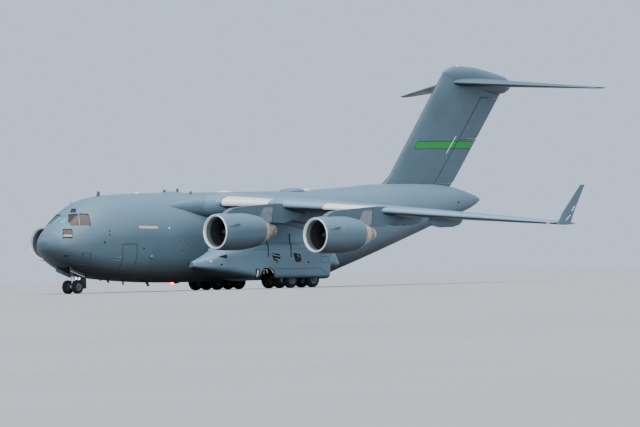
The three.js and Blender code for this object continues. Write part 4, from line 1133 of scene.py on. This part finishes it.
# Wheels: profiles turned round each axle, of distances across and radii over the wheel's size.
# Each is one half, from the axle's side outward
TYRE_HALF = ((0.4, 0.56), (0.5, 0.62), (0.5, 0.8), (0.46, 0.9), (0.37, 0.965), (0.25, 0.99), (0.165, 0.996),
             (0.16, 0.975), (0.13, 0.975), (0.125, 0.998))
TYRE_CROWN = (0.0, 1.0)
RIM_HALF = ((0.36, 0.0), (0.36, 0.1), (0.36, 0.22), (0.26, 0.26), (0.22, 0.34), (0.26, 0.5), (0.4, 0.55),
            (0.47, 0.58), (0.47, 0.61), (0.42, 0.6))
TYRE = [(-u, v) for u, v in TYRE_HALF] + [TYRE_CROWN, *TYRE_HALF[::-1]]
RIM = [(-u, v) for u, v in RIM_HALF] + [*RIM_HALF[::-1]]
AXLE_TURN = 90.0
# Bolts. The sizes are shares of the wheel's radius, and reach is one of its breadth
BOLTS = {"count": 9, "ring": 0.42, "radius": 0.04, "reach": 0.3}
AXLE_PORTS = (2.4, 4.98)
NOSE_AXLE_PORTS = (-0.62, 0.62)


def wheel(name, station, port, radius, breadth, body, first):
    """Tyre, rim and bolts of one wheel. The first of an axle stands for the axle's node"""
    place = Vector((station, port, radius))
    tyre, rim = ([(u * breadth, v * radius) for u, v in outline] for outline in (TYRE, RIM))
    tyre = lathe(f"tyre_{name}", tyre, place, AXLE_TURN, "tyre", body, 48, 30)
    if first:
        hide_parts(first)
    lathe(f"rim_{name}", rim, place, AXLE_TURN, "hub", body, 40, 30)
    shapes = []
    for turn in turns(BOLTS["count"]):
        reach, ring = BOLTS["reach"] * breadth, BOLTS["ring"] * radius
        spot = place + Vector((math.cos(turn) * ring, 0, math.sin(turn) * ring))
        shapes.append([[spot + Vector((math.cos(a) * BOLTS["radius"] * radius, across,
                                       math.sin(a) * BOLTS["radius"] * radius)) for a in turns(6)]
                       for across in (-reach, reach)])
    bundle(f"bolts_{name}", shapes, "gear", body, 30)


def axle(name, station, ports, up, radius, body):
    tube(f"axle_{name}", [(station, port, up) for port in ports], radius, "hub", body, 20)


station, radius, breadth = (NOSE_WHEELS[key] for key in ("station", "radius", "breadth"))
for i, port in enumerate(NOSE_WHEELS["ports"]):
    wheel(f"nose_{i + 1}", station, port, radius, breadth, "nose_wheels", None if i else "nose_wheels")
axle("nose", station, NOSE_AXLE_PORTS, radius, 0.09, "nose_wheels")
dress("nose_leg", "hub", sharp=40)
dress("nose_leg_steered", "steel", sharp=40)
radius, breadth = MAIN_WHEELS["radius"], MAIN_WHEELS["breadth"]
for side_name, side in SIDES:
    for row_name, station in MAIN_AXLES:
        tag = f"{row_name}_{side_name}"
        body = f"main_wheels_{tag}"
        for i, port in enumerate(MAIN_WHEELS["ports"]):
            wheel(f"{tag}_{i + 1}", station, side * port, radius, breadth, body, None if i else body)
        axle(tag, station, [side * port for port in AXLE_PORTS], radius, 0.1, body)
        dress(f"main_leg_{tag}", "gear", sharp=40)

# Cockpit glass and its seals. The overlaps are sizes over the window's own
GLASS_LEVELS = (-0.035, -0.065)
GLASS_OVERLAP = 1.04
GLASS_RINGS = 5
SEAL = {"overlap": 1.03, "out": 0.004, "radius": 0.016}
PANE_CUTS = 8
# Pale band in the lower part of each chin window, as corners of station and degrees
CHIN_BAND = ((0.842, 38.6), (1.319, 27.5), (1.262, 22.6), (0.771, 32.5))


def pane(name, corners, side, finish, sealed):
    """Window pane just under the skin, and the seal round it"""
    centre = np.mean(np.array(corners), axis=0)
    edge = divided(corners, PANE_CUTS)

    def ring(share):
        return [centre + (spot - centre) * GLASS_OVERLAP * share for spot in edge]

    def on_hull(station, degrees, level):
        return ray_on_hull(station, degrees, level, side)

    glass = shell(name, ring, on_hull, GLASS_LEVELS, GLASS_RINGS, finish, 60)
    if sealed:
        rim = [on_hull(*(centre + (spot - centre) * SEAL["overlap"]), SEAL["out"]) for spot in edge]
        tube(f"{name}_seal", rim, SEAL["radius"], "seal", closed=True)
    return glass


glazing = None
for side_name, side in SIDES:
    for window, corners in WINDOWS:
        clear = window == "windscreen" or (window == "eyebrow" and side < 0)
        made = pane(f"{window}_{side_name}", corners, side, "glass" if clear else "warm_glass", not clear)
        glazing = glazing or made
    plate(f"chin_band_{side_name}", CHIN_BAND, "cream", ray_on_hull, -0.01, side)
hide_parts("cockpit_glazing")

# Slats along the leading edge. Columns: name, inner half span, outer half span, finish
SLATS = (
    ("slat_root", 4.0, 6.9, "strip"), ("slat_middle", 7.75, 10.35, "slat"),
    ("slat_middle_outer", 10.4, 13.45, "strip"), ("slat_outer", 13.95, 19.0, "slat"),
    ("slat_tip", 19.05, 24.9, "slat"),
)
# How far a slat wraps round the edge, as chord shares, and how far it stands out of the wing and into it
SLAT = {"upper": 0.085, "lower": 0.012, "out": 0.014, "deep": 0.012, "edge": 0.15}
SLAT_ROWS = 12
SLAT_UNDER, SLAT_OVER = 8, 13


def slat(name, inner, outer, side, finish):
    """Sheet wrapped round the leading edge"""
    under = np.linspace(math.sqrt(SLAT["lower"]), 0, SLAT_UNDER)
    over = np.linspace(0, math.sqrt(SLAT["upper"]), SLAT_OVER + 1)[1:]
    shares = np.concatenate([under, over]) ** 2
    signs = np.array([-1] * SLAT_UNDER + [1] * SLAT_OVER)
    loops = []
    for half in np.linspace(inner, outer, SLAT_ROWS):
        front, chord, height, thickness = wing_skin.lines.straight(half)
        rise = signs * 5 * thickness * airfoil_body(shares, 4) * (1 + signs * WING_CAMBER)
        heights = height - WING_INCIDENCE * shares * chord + rise * chord
        line = np.stack([front + shares * chord, heights], axis=1)
        run = np.gradient(line, axis=0)
        run /= np.linalg.norm(run, axis=1)[:, None]
        square = np.stack([-run[:, 1], run[:, 0]], axis=1)
        taper = np.ones(len(line))
        taper[0] = taper[-1] = SLAT["edge"]
        outer_line = line + square * (SLAT["out"] * taper)[:, None]
        inner_line = (line - square * SLAT["deep"])[::-1]
        loops.append([(station, side * half, up) for station, up in np.concatenate([outer_line, inner_line])])
    loft(name, loops, finish, sharp=40)


for side_name, side in SIDES:
    for name, inner, outer, finish in SLATS:
        slat(f"{name}_{side_name}", inner, outer, side, finish)

# Small plates on the hull; the dark ones are painted shade in ports, vents, drains and valves. Columns: name,
# corners as station and height, finish, how far they stand out
PLATES = (
    ("nose_vent", ((0.86, 2.86), (1.14, 2.84), (1.16, 2.72), (0.88, 2.72)), "dark", 0.006),
    ("cream_strip", ((6.8, 4.86), (8.76, 4.8), (8.76, 4.62), (6.8, 4.68)), "cream", 0.01),
    ("static_port_1", ((3.96, 4.58), (4.08, 4.58), (4.08, 4.48), (3.96, 4.48)), "dark", 0.006),
    ("static_port_2", ((3.92, 4.31), (4.04, 4.31), (4.04, 4.21), (3.92, 4.21)), "dark", 0.006),
    ("static_port_3", ((3.46, 3.8), (3.58, 3.8), (3.58, 3.62), (3.46, 3.62)), "dark", 0.006),
    ("drain_port", ((7.1, 3.26), (7.24, 3.26), (7.24, 3.12), (7.1, 3.12)), "dark", 0.006),
    ("round_lamp", ((9.86, 4.71), (9.98, 4.71), (9.98, 4.6), (9.86, 4.6)), "white", 0.02),
    ("valve_1", ((10.97, 3.75), (11.05, 3.75), (11.05, 3.67), (10.97, 3.67)), "dark", 0.006),
    ("valve_2", ((11.44, 3.74), (11.52, 3.74), (11.52, 3.66), (11.44, 3.66)), "dark", 0.006),
    ("valve_3", ((10.99, 3.02), (11.07, 3.02), (11.07, 2.94), (10.99, 2.94)), "dark", 0.006),
    ("valve_4", ((11.32, 3.02), (11.4, 3.02), (11.4, 2.94), (11.32, 2.94)), "dark", 0.006),
)
BOTH_SIDES = ("static_port_1", "static_port_2", "static_port_3", "cream_strip", "round_lamp")
for name, corners, finish, out in PLATES:
    plate(name, corners, finish, out=out)
    if name in BOTH_SIDES:
        plate(f"{name}_starboard", corners, finish, out=out, side=-1)

# Fine seam lines round hatches. Columns: name, corners as station and height, radius, side
SEAM_OUT = 0.006
SEAM_CUTS = 7
HATCH_SEAMS = (
    ("nose_hatch_seam", ((1.88, 3.0), (2.5, 2.96), (2.62, 2.1), (2.12, 2.14)), 0.022, 1),
    ("crew_door_seam", ((5.06, 3.56), (6.46, 3.56), (6.46, 1.72), (5.14, 1.72)), 0.022, 1),
    ("side_hatch_seam", ((7.4, 3.3), (8.05, 3.3), (8.05, 2.2), (7.4, 2.2)), 0.012, -1),
)
for name, corners, radius, side in HATCH_SEAMS:
    line = [side_of_hull(*spot, SEAM_OUT, side) for spot in divided(corners, SEAM_CUTS)]
    tube(name, line, radius, "seal", sides=6, closed=True)

# Swept antennas. Columns: name, station, port, foot height, height (negative where it hangs), length, lean
ANTENNAS = (
    ("top_antenna_1", 5.7, 0.0, 7.08, 0.4, 0.42, 0.14), ("top_antenna_2", 12.9, 0.0, 7.26, 0.26, 0.44, 0.12),
    ("top_antenna_3", 14.37, 0.0, 7.26, 0.36, 0.34, 0.12), ("top_antenna_4", 14.75, 1.0, 7.08, 0.3, 0.3, 0.1),
    ("belly_antenna_1", 5.75, 0.0, 1.1, -0.2, 0.3, 0.1),
    ("belly_antenna_2", 6.5, 0.0, 1.02, -0.28, 0.32, 0.2),
    ("belly_antenna_3", 8.25, 0.0, 0.87, -0.34, 0.22, 0.05),
    ("belly_antenna_4", 10.75, 0.0, 0.74, -0.34, 0.36, 0.26),
)
ANTENNA_SHARES = (0, 0.05, 0.2, 0.5, 1.0)
ANTENNA_THICKNESS = 0.16
# Columns: share of the height, width there over the foot's
ANTENNA_TAPER = ((0.0, 1.0), (0.5, 0.85), (1.0, 0.6))
for name, station, port, up, tall, length, lean in ANTENNAS:
    loops = []
    for share, width in ANTENNA_TAPER:
        chord, front = length * width, station + lean * share
        outline = airfoil(ANTENNA_THICKNESS, chord, ANTENNA_SHARES)
        loops.append([(front + u * chord, port + v * chord, up + tall * share) for u, v in outline])
    loft(name, loops, "trim", sharp=40)


def dome(name, station, port, up, length, broad, tall, finish):
    """Rounded fairing on a surface"""
    loops = []
    for share in np.linspace(0.02, 0.98, 22):
        swell = math.sqrt(1 - (2 * share - 1) ** 2)
        loops.append([(station + share * length, port + math.cos(a) * broad / 2 * swell,
                       up + math.sin(a) * tall * swell) for a in turns(28)])
    loft(name, loops, finish, sharp=50)


# Domes and lamps. Columns: name, station, port, foot height, length, breadth, height, finish
DOMES = (
    ("satellite_dome_front", 26.2, 0.0, 7.26, 2.45, 1.5, 0.28, "hull"),
    ("satellite_dome_rear", 28.6, 0.0, 7.3, 0.85, 0.7, 0.2, "lip"),
    ("top_dome_front", 12.5, 0.0, 7.2, 2.6, 1.1, 0.2, "hull"),
    ("top_plate_white", 18.7, 0.0, 7.17, 2.2, 0.8, 0.22, "white"),
    ("top_plate_small", 9.9, 0.0, 7.22, 0.5, 0.4, 0.16, "white"),
    ("belly_beacon", 13.6, 0.0, 0.64, 0.26, 0.24, -0.16, "red_lamp"),
    ("belly_beacon_base", 13.8, 0.0, 0.66, 0.7, 0.4, -0.12, "trim"),
    ("fin_beacon", 46.72, 0.0, 16.66, 0.5, 0.3, 0.13, "red_lamp"),
    ("tail_lamp", 49.02, 0.0, 6.42, 0.16, 0.14, 0.07, "white_lamp"),
    # Dark tail vents: painted shade in their openings
    ("tail_vent_port", 44.75, 1.5, 6.2, 0.3, 0.26, 0.12, "dark"),
    ("tail_vent_starboard", 44.75, -1.5, 6.2, 0.3, 0.26, 0.12, "dark"),
)
for name, *numbers, finish in DOMES:
    dome(name, *numbers, finish)

# Probes with their bases on the lower nose, and a fitting behind them
PROBE_FEET = ((4.98, 2.62), (4.98, 2.42))
# Columns: distance aft of the foot, distance out of the hull, radius
PROBE = ((0.0, -0.02, 0.035), (-0.1, 0.12, 0.03), (-0.6, 0.16, 0.012))
SIDE_FITTING = {"station": 7.75, "up": 2.62, "out": 0.06, "drop": 0.05}
for side_name, side in SIDES:
    for k, (station, up) in enumerate(PROBE_FEET):
        line = [side_of_hull(station + aft, up, out, side) for aft, out, _ in PROBE]
        tube(f"probe_{k + 1}_{side_name}", line, [radius for _, _, radius in PROBE], "lip_paint")
    spot = side_of_hull(SIDE_FITTING["station"], SIDE_FITTING["up"], SIDE_FITTING["out"], side)
    dome(f"side_fitting_{side_name}", spot.x, spot.y, spot.z - SIDE_FITTING["drop"], 0.42, 0.2, 0.14, "trim")

# Fillet between a sponson's top and the hull. Columns: station, how far it has grown
FILLET = (
    (14.0, 0.02), (15.0, 0.3), (16.0, 0.62), (17.0, 0.88), (18.0, 1.0), (20.0, 1.0), (22.0, 1.0),
    (23.2, 0.92), (24.2, 0.78), (25.4, 0.58), (26.2, 0.42), (26.9, 0.25), (27.5, 0.04),
)
# Where the grown fillet starts on the sponson and ends on the hull, and how hollow and thick it is
FILLET_FOOT = {"share": 0.2, "more_share": 0.5, "sunk": 0.02, "more_sunk": 0.16}
FILLET_HEAD = {"rise": 0.1, "more_rise": 1.25}
FILLET_PULL = 0.22
FILLET_THICKNESS = 0.12
FILLET_CUTS = 12


def fillet_curve(station, growth, side):
    """Hollow curve from the sponson's top up to the hull's side"""
    centre, half, top, _, _ = sponson_skin.lines.straight(station)
    share = FILLET_FOOT["share"] + FILLET_FOOT["more_share"] * growth
    sunk = FILLET_FOOT["sunk"] + FILLET_FOOT["more_sunk"] * growth
    low = Vector((station, side * (centre + half * share), top - sunk))
    head = side_of_hull(station, top + FILLET_HEAD["rise"] + FILLET_HEAD["more_rise"] * growth, 0.0, side)
    corner = side_of_hull(station, top, 0.0, side)
    control = corner + (low - corner) * FILLET_PULL + (head - corner) * FILLET_PULL
    return [low * (1 - t) ** 2 + control * 2 * t * (1 - t) + head * t**2
            for t in np.linspace(0, 1, FILLET_CUTS)]


# Smooth start of the wing root fairing. Columns: station, half span, height, half breadth, half height
SHOULDER = (
    (11.0, 2.3, 6.15, 0.2, 0.25), (11.6, 2.36, 6.15, 0.26, 0.36), (12.2, 2.42, 6.15, 0.34, 0.48),
    (12.8, 2.47, 6.15, 0.47, 0.6), (13.4, 2.5, 6.15, 0.65, 0.71), (14.0, 2.56, 6.15, 0.84, 0.82),
    (14.5, 2.62, 6.16, 0.99, 0.86),
)
for side_name, side in SIDES:
    loops = [[(station, side * port, up) for port, up in shoulder_section(row, turns(40))]
             for station, *row in SHOULDER]
    loft(f"shoulder_start_{side_name}", loops, "hull", sharp=50)
    loops = []
    for station, growth in FILLET:
        curve = fillet_curve(station, growth, side)
        inward = Vector((0, -side * FILLET_THICKNESS, -FILLET_THICKNESS))
        loops.append(curve + [point + inward for point in reversed(curve)])
    loft(f"sponson_fillet_{side_name}", loops, "belly", sharp=60)

# Sponson vents, lamps, lines and hatches, on its flat side. Dark plates are painted shade in the vents,
# drains and lamp recess. Corners and lines are stations and heights
SPONSON_PLATES = (
    ("exhaust_vent_front", ((18.9, 2.62), (19.85, 2.56), (19.9, 2.08), (19.2, 2.04)), "dark", 0.008),
    ("exhaust_vent_rear", ((21.35, 2.62), (22.2, 2.5), (22.25, 1.94), (21.6, 1.9)), "dark", 0.008),
    ("drain_spot_front", ((13.87, 1.92), (14.03, 1.92), (14.03, 1.8), (13.87, 1.8)), "dark", 0.008),
    ("drain_spot_rear", ((22.98, 1.95), (23.14, 1.95), (23.14, 1.81), (22.98, 1.81)), "dark", 0.008),
    ("scoop_vent", ((13.75, 2.46), (14.35, 2.62), (14.43, 2.46), (14.3, 2.3)), "dark", 0.008),
    ("landing_lamp_recess", ((17.14, 1.5), (17.58, 1.5), (17.58, 0.84), (17.2, 0.84)), "dark", 0.006),
    ("landing_lamp", ((17.3, 1.42), (17.46, 1.4), (17.46, 0.92), (17.34, 0.9)), "white", 0.02),
    ("front_lamp", ((13.18, 2.2), (13.32, 2.2), (13.32, 2.08), (13.18, 2.08)), "white", 0.012),
)
VENT_BLADES = (((18.99, 2.52), (19.78, 2.37)), ((19.31, 2.22), (19.8, 2.12)), ((21.82, 2.44), (22.0, 2.3)))
HATCH = ((24.5, 2.31), (25.35, 2.25), (25.35, 1.8), (24.5, 1.84))
SKIRT = [(station, 1.44) for station in np.linspace(18.6, 24.4, 14)] + [(24.9, 1.1), (25.3, 0.8)]
SHELF = [(station, 2.9) for station in np.linspace(13.4, 25.3, 24)]
# Columns: name, line, distance out, radius, whether it closes
SPONSON_SEAMS = (("service_hatch_seam", HATCH, 0.004, 0.016, True),
                 ("skirt_seam", SKIRT, 0.002, 0.016, False), ("shelf_seam", SHELF, 0.002, 0.01, False))
# Columns: name, half span, radius, line
ARCH_TRIM = (
    ("arch_bracket", 4.9, 0.036, ((18.5, 1.12), (18.52, 1.4), (18.86, 1.42), (18.9, 1.16))),
    ("arch_rim", 5.18, 0.03, ((18.4, 1.58), (18.7, 1.56), (18.92, 1.48), (19.1, 1.34), (19.22, 1.16))),
)
# Dark streaks that lean aft as they rise inward, on the sponson's side and up its fillet.
# Columns of the first: station, lowest height, highest height
STREAKS = ((18.6, 2.36, 3.3), (21.15, 2.3, 3.3), (19.55, 1.84, 2.05))
STREAK = {"lean": 1.12, "port": 5.3, "out": 0.002, "radius": 0.05}
FILLET_STREAKS = (19.7, 22.27)
FILLET_STREAK = {"port": 4.2, "radius": 0.045}
for side_name, side in SIDES:
    for name, corners, finish, out in SPONSON_PLATES:
        plate(f"{name}_{side_name}", corners, finish, side_of_sponson, out, side)
    for k, ends in enumerate(VENT_BLADES):
        line = [side_of_sponson(*spot, 0.02, side) for spot in ends]
        tube(f"vent_blade_{k + 1}_{side_name}", line, 0.024, "lip", sides=6)
    for name, line, out, radius, closed in SPONSON_SEAMS:
        line = [side_of_sponson(*spot, out, side) for spot in line]
        tube(f"{name}_{side_name}", line, radius, "seal", sides=6, closed=closed)
    for name, half, radius, line in ARCH_TRIM:
        tube(f"{name}_{side_name}", [(station, side * half, up) for station, up in line], radius, "white")
    for k, (station, low, high) in enumerate(STREAKS):
        line = []
        for up in np.linspace(low, high, 8):
            inward = STREAK["port"] - abs(side_of_sponson(station, up, 0.0, side).y)
            line.append(side_of_sponson(station + inward * STREAK["lean"], up, STREAK["out"], side))
        tube(f"sponson_streak_{k + 1}_{side_name}", line, STREAK["radius"], "seal", sides=6)
    for k, station in enumerate(FILLET_STREAKS):
        line = []
        for step, spot in enumerate(fillet_curve(station, 1.0, side)[:FILLET_CUTS * 2 // 3]):
            inward = FILLET_STREAK["port"] - abs(spot.y)
            line.append(fillet_curve(station + inward * STREAK["lean"], 1.0, side)[step])
        tube(f"fillet_streak_{k + 1}_{side_name}", line, FILLET_STREAK["radius"], "seal", sides=6)

# Lamps and marks on the wings and winglets, and a formation strip just proud of the fin's skin
NAVIGATION_LAMP = 24.5
WINGLET_HEIGHTS = (4.16, 4.95, 7.05)
WINGLET_SPANS = (25.15, 25.3, 25.75)
WINGLET_DASHES = (((29.18, 4.44), (29.64, 4.83)), ((29.74, 5.11), (30.03, 5.49)))
WINGLET_DASH = {"half_width": 0.04, "half_breadth": 0.08}
STRIP_FOOT, STRIP_REACH = (45.1, 10.02), (1.23, 1.33)
# Distances aft and out round the strip's section
STRIP_SECTION = ((-0.03, -0.02), (0.03, -0.02), (0.03, 0.008), (-0.03, 0.01))
for side_name, side in SIDES:
    front, chord, height, _ = wing_skin.lines.straight(NAVIGATION_LAMP)
    dome(f"navigation_lamp_{side_name}", front - 0.04, side * NAVIGATION_LAMP, height - 0.05, 0.5, 0.32, 0.09,
         "nav_lamp" if side > 0 else "green_lamp")
    for k, ends in enumerate(WINGLET_DASHES):
        loops = []
        for across in (-WINGLET_DASH["half_breadth"], WINGLET_DASH["half_breadth"]):
            loop = []
            for (station, up), signs in zip(ends, ((-1, 1), (1, -1))):
                port = side * (float(np.interp(up, WINGLET_HEIGHTS, WINGLET_SPANS)) + across)
                loop += [(station + sign * WINGLET_DASH["half_width"], port, up) for sign in signs]
            loops.append(loop)
        loft(f"winglet_dash_{k + 1}_{side_name}", loops, "white")
    loops = []
    for share in np.linspace(0, 1, 6):
        station, up = (foot + reach * share for foot, reach in zip(STRIP_FOOT, STRIP_REACH))
        front, chord, thickness = fin_skin.lines.straight(up)
        upper = airfoil(thickness, chord, FINE_SHARES)[:len(FINE_SHARES)]
        rise = float(np.interp((station - front) / chord, *upper.T)) * chord
        loops.append([(station + aft, side * (rise + out), up) for aft, out in STRIP_SECTION])
    loft(f"formation_strip_{side_name}", loops, "white")

# Torque links, collar and taxi lamps on the steered leg. Columns: name, ends, radius, finish, sides
STEERED = (
    ("torque_link_upper", ((3.08, 0.0, 1.2), (3.42, 0.0, 0.98)), 0.045, "gear", 8),
    ("torque_link_lower", ((3.42, 0.0, 0.98), (3.08, 0.0, 0.72)), 0.045, "gear", 8),
    ("steering_collar", ((2.95, 0.0, 1.13), (2.95, 0.0, 1.22)), 0.16, "gear", 24),
    ("taxi_lamp_bar", ((2.95, 0.05, 1.2), (3.06, 0.6, 1.17)), 0.03, "hub", 8),
    ("taxi_lamp_1", ((2.9, 0.4, 1.05), (2.9, 0.4, 1.2)), 0.042, "white_lamp", 16),
    ("taxi_lamp_2", ((3.06, 0.6, 1.05), (3.06, 0.6, 1.2)), 0.042, "white_lamp", 16),
)
for name, ends, radius, finish, sides in STEERED:
    tube(name, ends, radius, finish, "nose_steering", sides)
# Braces and door edges of the nose bay, then braces and brake lines beside the main legs. Ends that repeat
# at each leg are distances aft of the axle, distances to port and heights
NOSE_BRACES = (((2.95, -0.117, 1.45), (3.85, -0.52, 2.28)), ((2.95, 0.117, 1.45), (3.85, 0.52, 2.28)))
for k, ends in enumerate(NOSE_BRACES):
    tube(f"nose_brace_{k + 1}", ends, 0.035, "gear")
NOSE_DOOR_EDGE = ((1.99, 0.75, 1.68), (3.46, 0.75, 1.21))
MAIN_LEG_PORT = 4.22
MAIN_BRACE = ((0.0, 0.0, 1.3), (0.75, 0.0, 2.28))
BRAKE_LINE = ((0.12, 0.1, 0.8), (0.2, 0.1, 1.3), (0.14, 0.1, 2.3))
for side_name, side in SIDES:
    edge = [(station, side * port, up) for station, port, up in NOSE_DOOR_EDGE]
    tube(f"nose_door_edge_{side_name}", edge, 0.03, "gear")
    for row_name, axle_station in MAIN_AXLES:
        for part, line, radius, finish in (("gear_brace", MAIN_BRACE, 0.06, "gear"),
                                           ("brake_line", BRAKE_LINE, 0.02, "seal")):
            line = [(axle_station + aft, side * MAIN_LEG_PORT + port, up) for aft, port, up in line]
            tube(f"{part}_{row_name}_{side_name}", line, radius, finish)

# Flight deck seen through the windows
SEAT_PORTS = (-0.75, 0.75)
# Columns: height, front, rear
CUSHION = ((4.5, 2.6, 3.2), (4.6, 2.58, 3.22), (4.64, 2.62, 3.2))
CUSHION_HALF = 0.26
# Columns: height, front
BACKREST = ((4.6, 3.1), (4.9, 3.16), (5.2, 3.24))
BACKREST_HALF, BACKREST_REAR_HALF, BACKREST_THICKNESS = 0.24, 0.22, 0.12
PANEL = ((1.6, 4.06), (1.6, 4.62), (1.9, 4.7), (2.05, 4.4), (2.0, 4.06))
for k, port in enumerate(SEAT_PORTS):
    tube(f"seat_post_{k + 1}", [(2.9, port, 4.06), (2.9, port, 4.5)], 0.1, "gear", sides=12)
    left, right = port - CUSHION_HALF, port + CUSHION_HALF
    loops = [[(front, left, up), (rear, left, up), (rear, right, up), (front, right, up)]
             for up, front, rear in CUSHION]
    loft(f"seat_cushion_{k + 1}", loops, "seat", sharp=60)
    loops = []
    for up, front in BACKREST:
        rear = front + BACKREST_THICKNESS
        loops.append([(front, port - BACKREST_HALF, up), (rear, port - BACKREST_REAR_HALF, up),
                      (rear, port + BACKREST_REAR_HALF, up), (front, port + BACKREST_HALF, up)])
    loft(f"seat_back_{k + 1}", loops, "seat", sharp=60)
web("instrument_panel", PANEL, np.linspace(-1.3, 1.3, 9), "dark", sharp=40)

# Floor, light and camera
GROUND = 1500.0
GROUND_DROP = 0.001
SKY_COLOR = (0.54, 0.65, 0.8, 1)
SKY_STRENGTH = 1.25
ground_mesh = bpy.data.meshes.new("floor")
ground_corners = [(x * GROUND, y * GROUND, 0) for x, y in ((-1, -1), (1, -1), (1, 1), (-1, 1))]
ground_mesh.from_pydata(ground_corners, [], [(0, 1, 2, 3)])
ground = linked("floor", ground_mesh)
ground.location.z = -GROUND_DROP
pale = Graph("pale_floor", (0.4, 0.4, 0.4), 0.9)
patches = pale.ramp(pale.noise(0.15, 3.0), 0.3, 0.7)
pale.set("Base Color", pale.mix(patches, (0.38, 0.38, 0.38), (0.42, 0.42, 0.42)))
ground_mesh.materials.append(pale.material)

world = bpy.data.worlds.new("studio")
bpy.context.scene.world = world
world.use_nodes = True
world.node_tree.nodes["Background"].inputs["Color"].default_value = SKY_COLOR
world.node_tree.nodes["Background"].inputs["Strength"].default_value = SKY_STRENGTH

# Wide suns. Columns: name, strength, direction that they shine along, degrees across
SUNS = (("key_light", 2.7, (-0.1, -0.15, -1.0), 50), ("side_light", 3.0, (-0.65, -0.75, -0.14), 60))
for name, strength, towards, spread in SUNS:
    data = bpy.data.lights.new(name, "SUN")
    data.energy = strength
    data.angle = math.radians(spread)
    linked(name, data).rotation_euler = Vector(towards).to_track_quat("-Z", "Y").to_euler()

CAMERA = {"station": -424.452, "port": 400.756, "up": 1.0, "yaw": -41.373, "pitch": 0.431, "roll": -1.53}
CAMERA_SENSOR, CAMERA_LENS = 36.0, 450.0
CAMERA_NEAR, CAMERA_FAR = 10.0, 3000.0
camera_data = bpy.data.cameras.new("camera")
camera_data.sensor_width = CAMERA_SENSOR
camera_data.lens = CAMERA_LENS
camera_data.clip_start, camera_data.clip_end = CAMERA_NEAR, CAMERA_FAR
camera = linked("camera", camera_data)
yaw, pitch, roll = (math.radians(CAMERA[name]) for name in ("yaw", "pitch", "roll"))
ahead = Vector((-math.cos(yaw) * math.cos(pitch), math.sin(yaw) * math.cos(pitch), math.sin(pitch)))
level_right = ahead.cross(Vector((0, 0, 1))).normalized()
level_up = level_right.cross(ahead)
right = level_right * math.cos(roll) + level_up * math.sin(roll)
upward = level_up * math.cos(roll) - level_right * math.sin(roll)
turned_by = Matrix((right, upward, -ahead)).transposed().to_4x4()
camera.matrix_world = Matrix.Translation(at(CAMERA["station"], CAMERA["port"], CAMERA["up"])) @ turned_by
bpy.context.scene.camera = camera
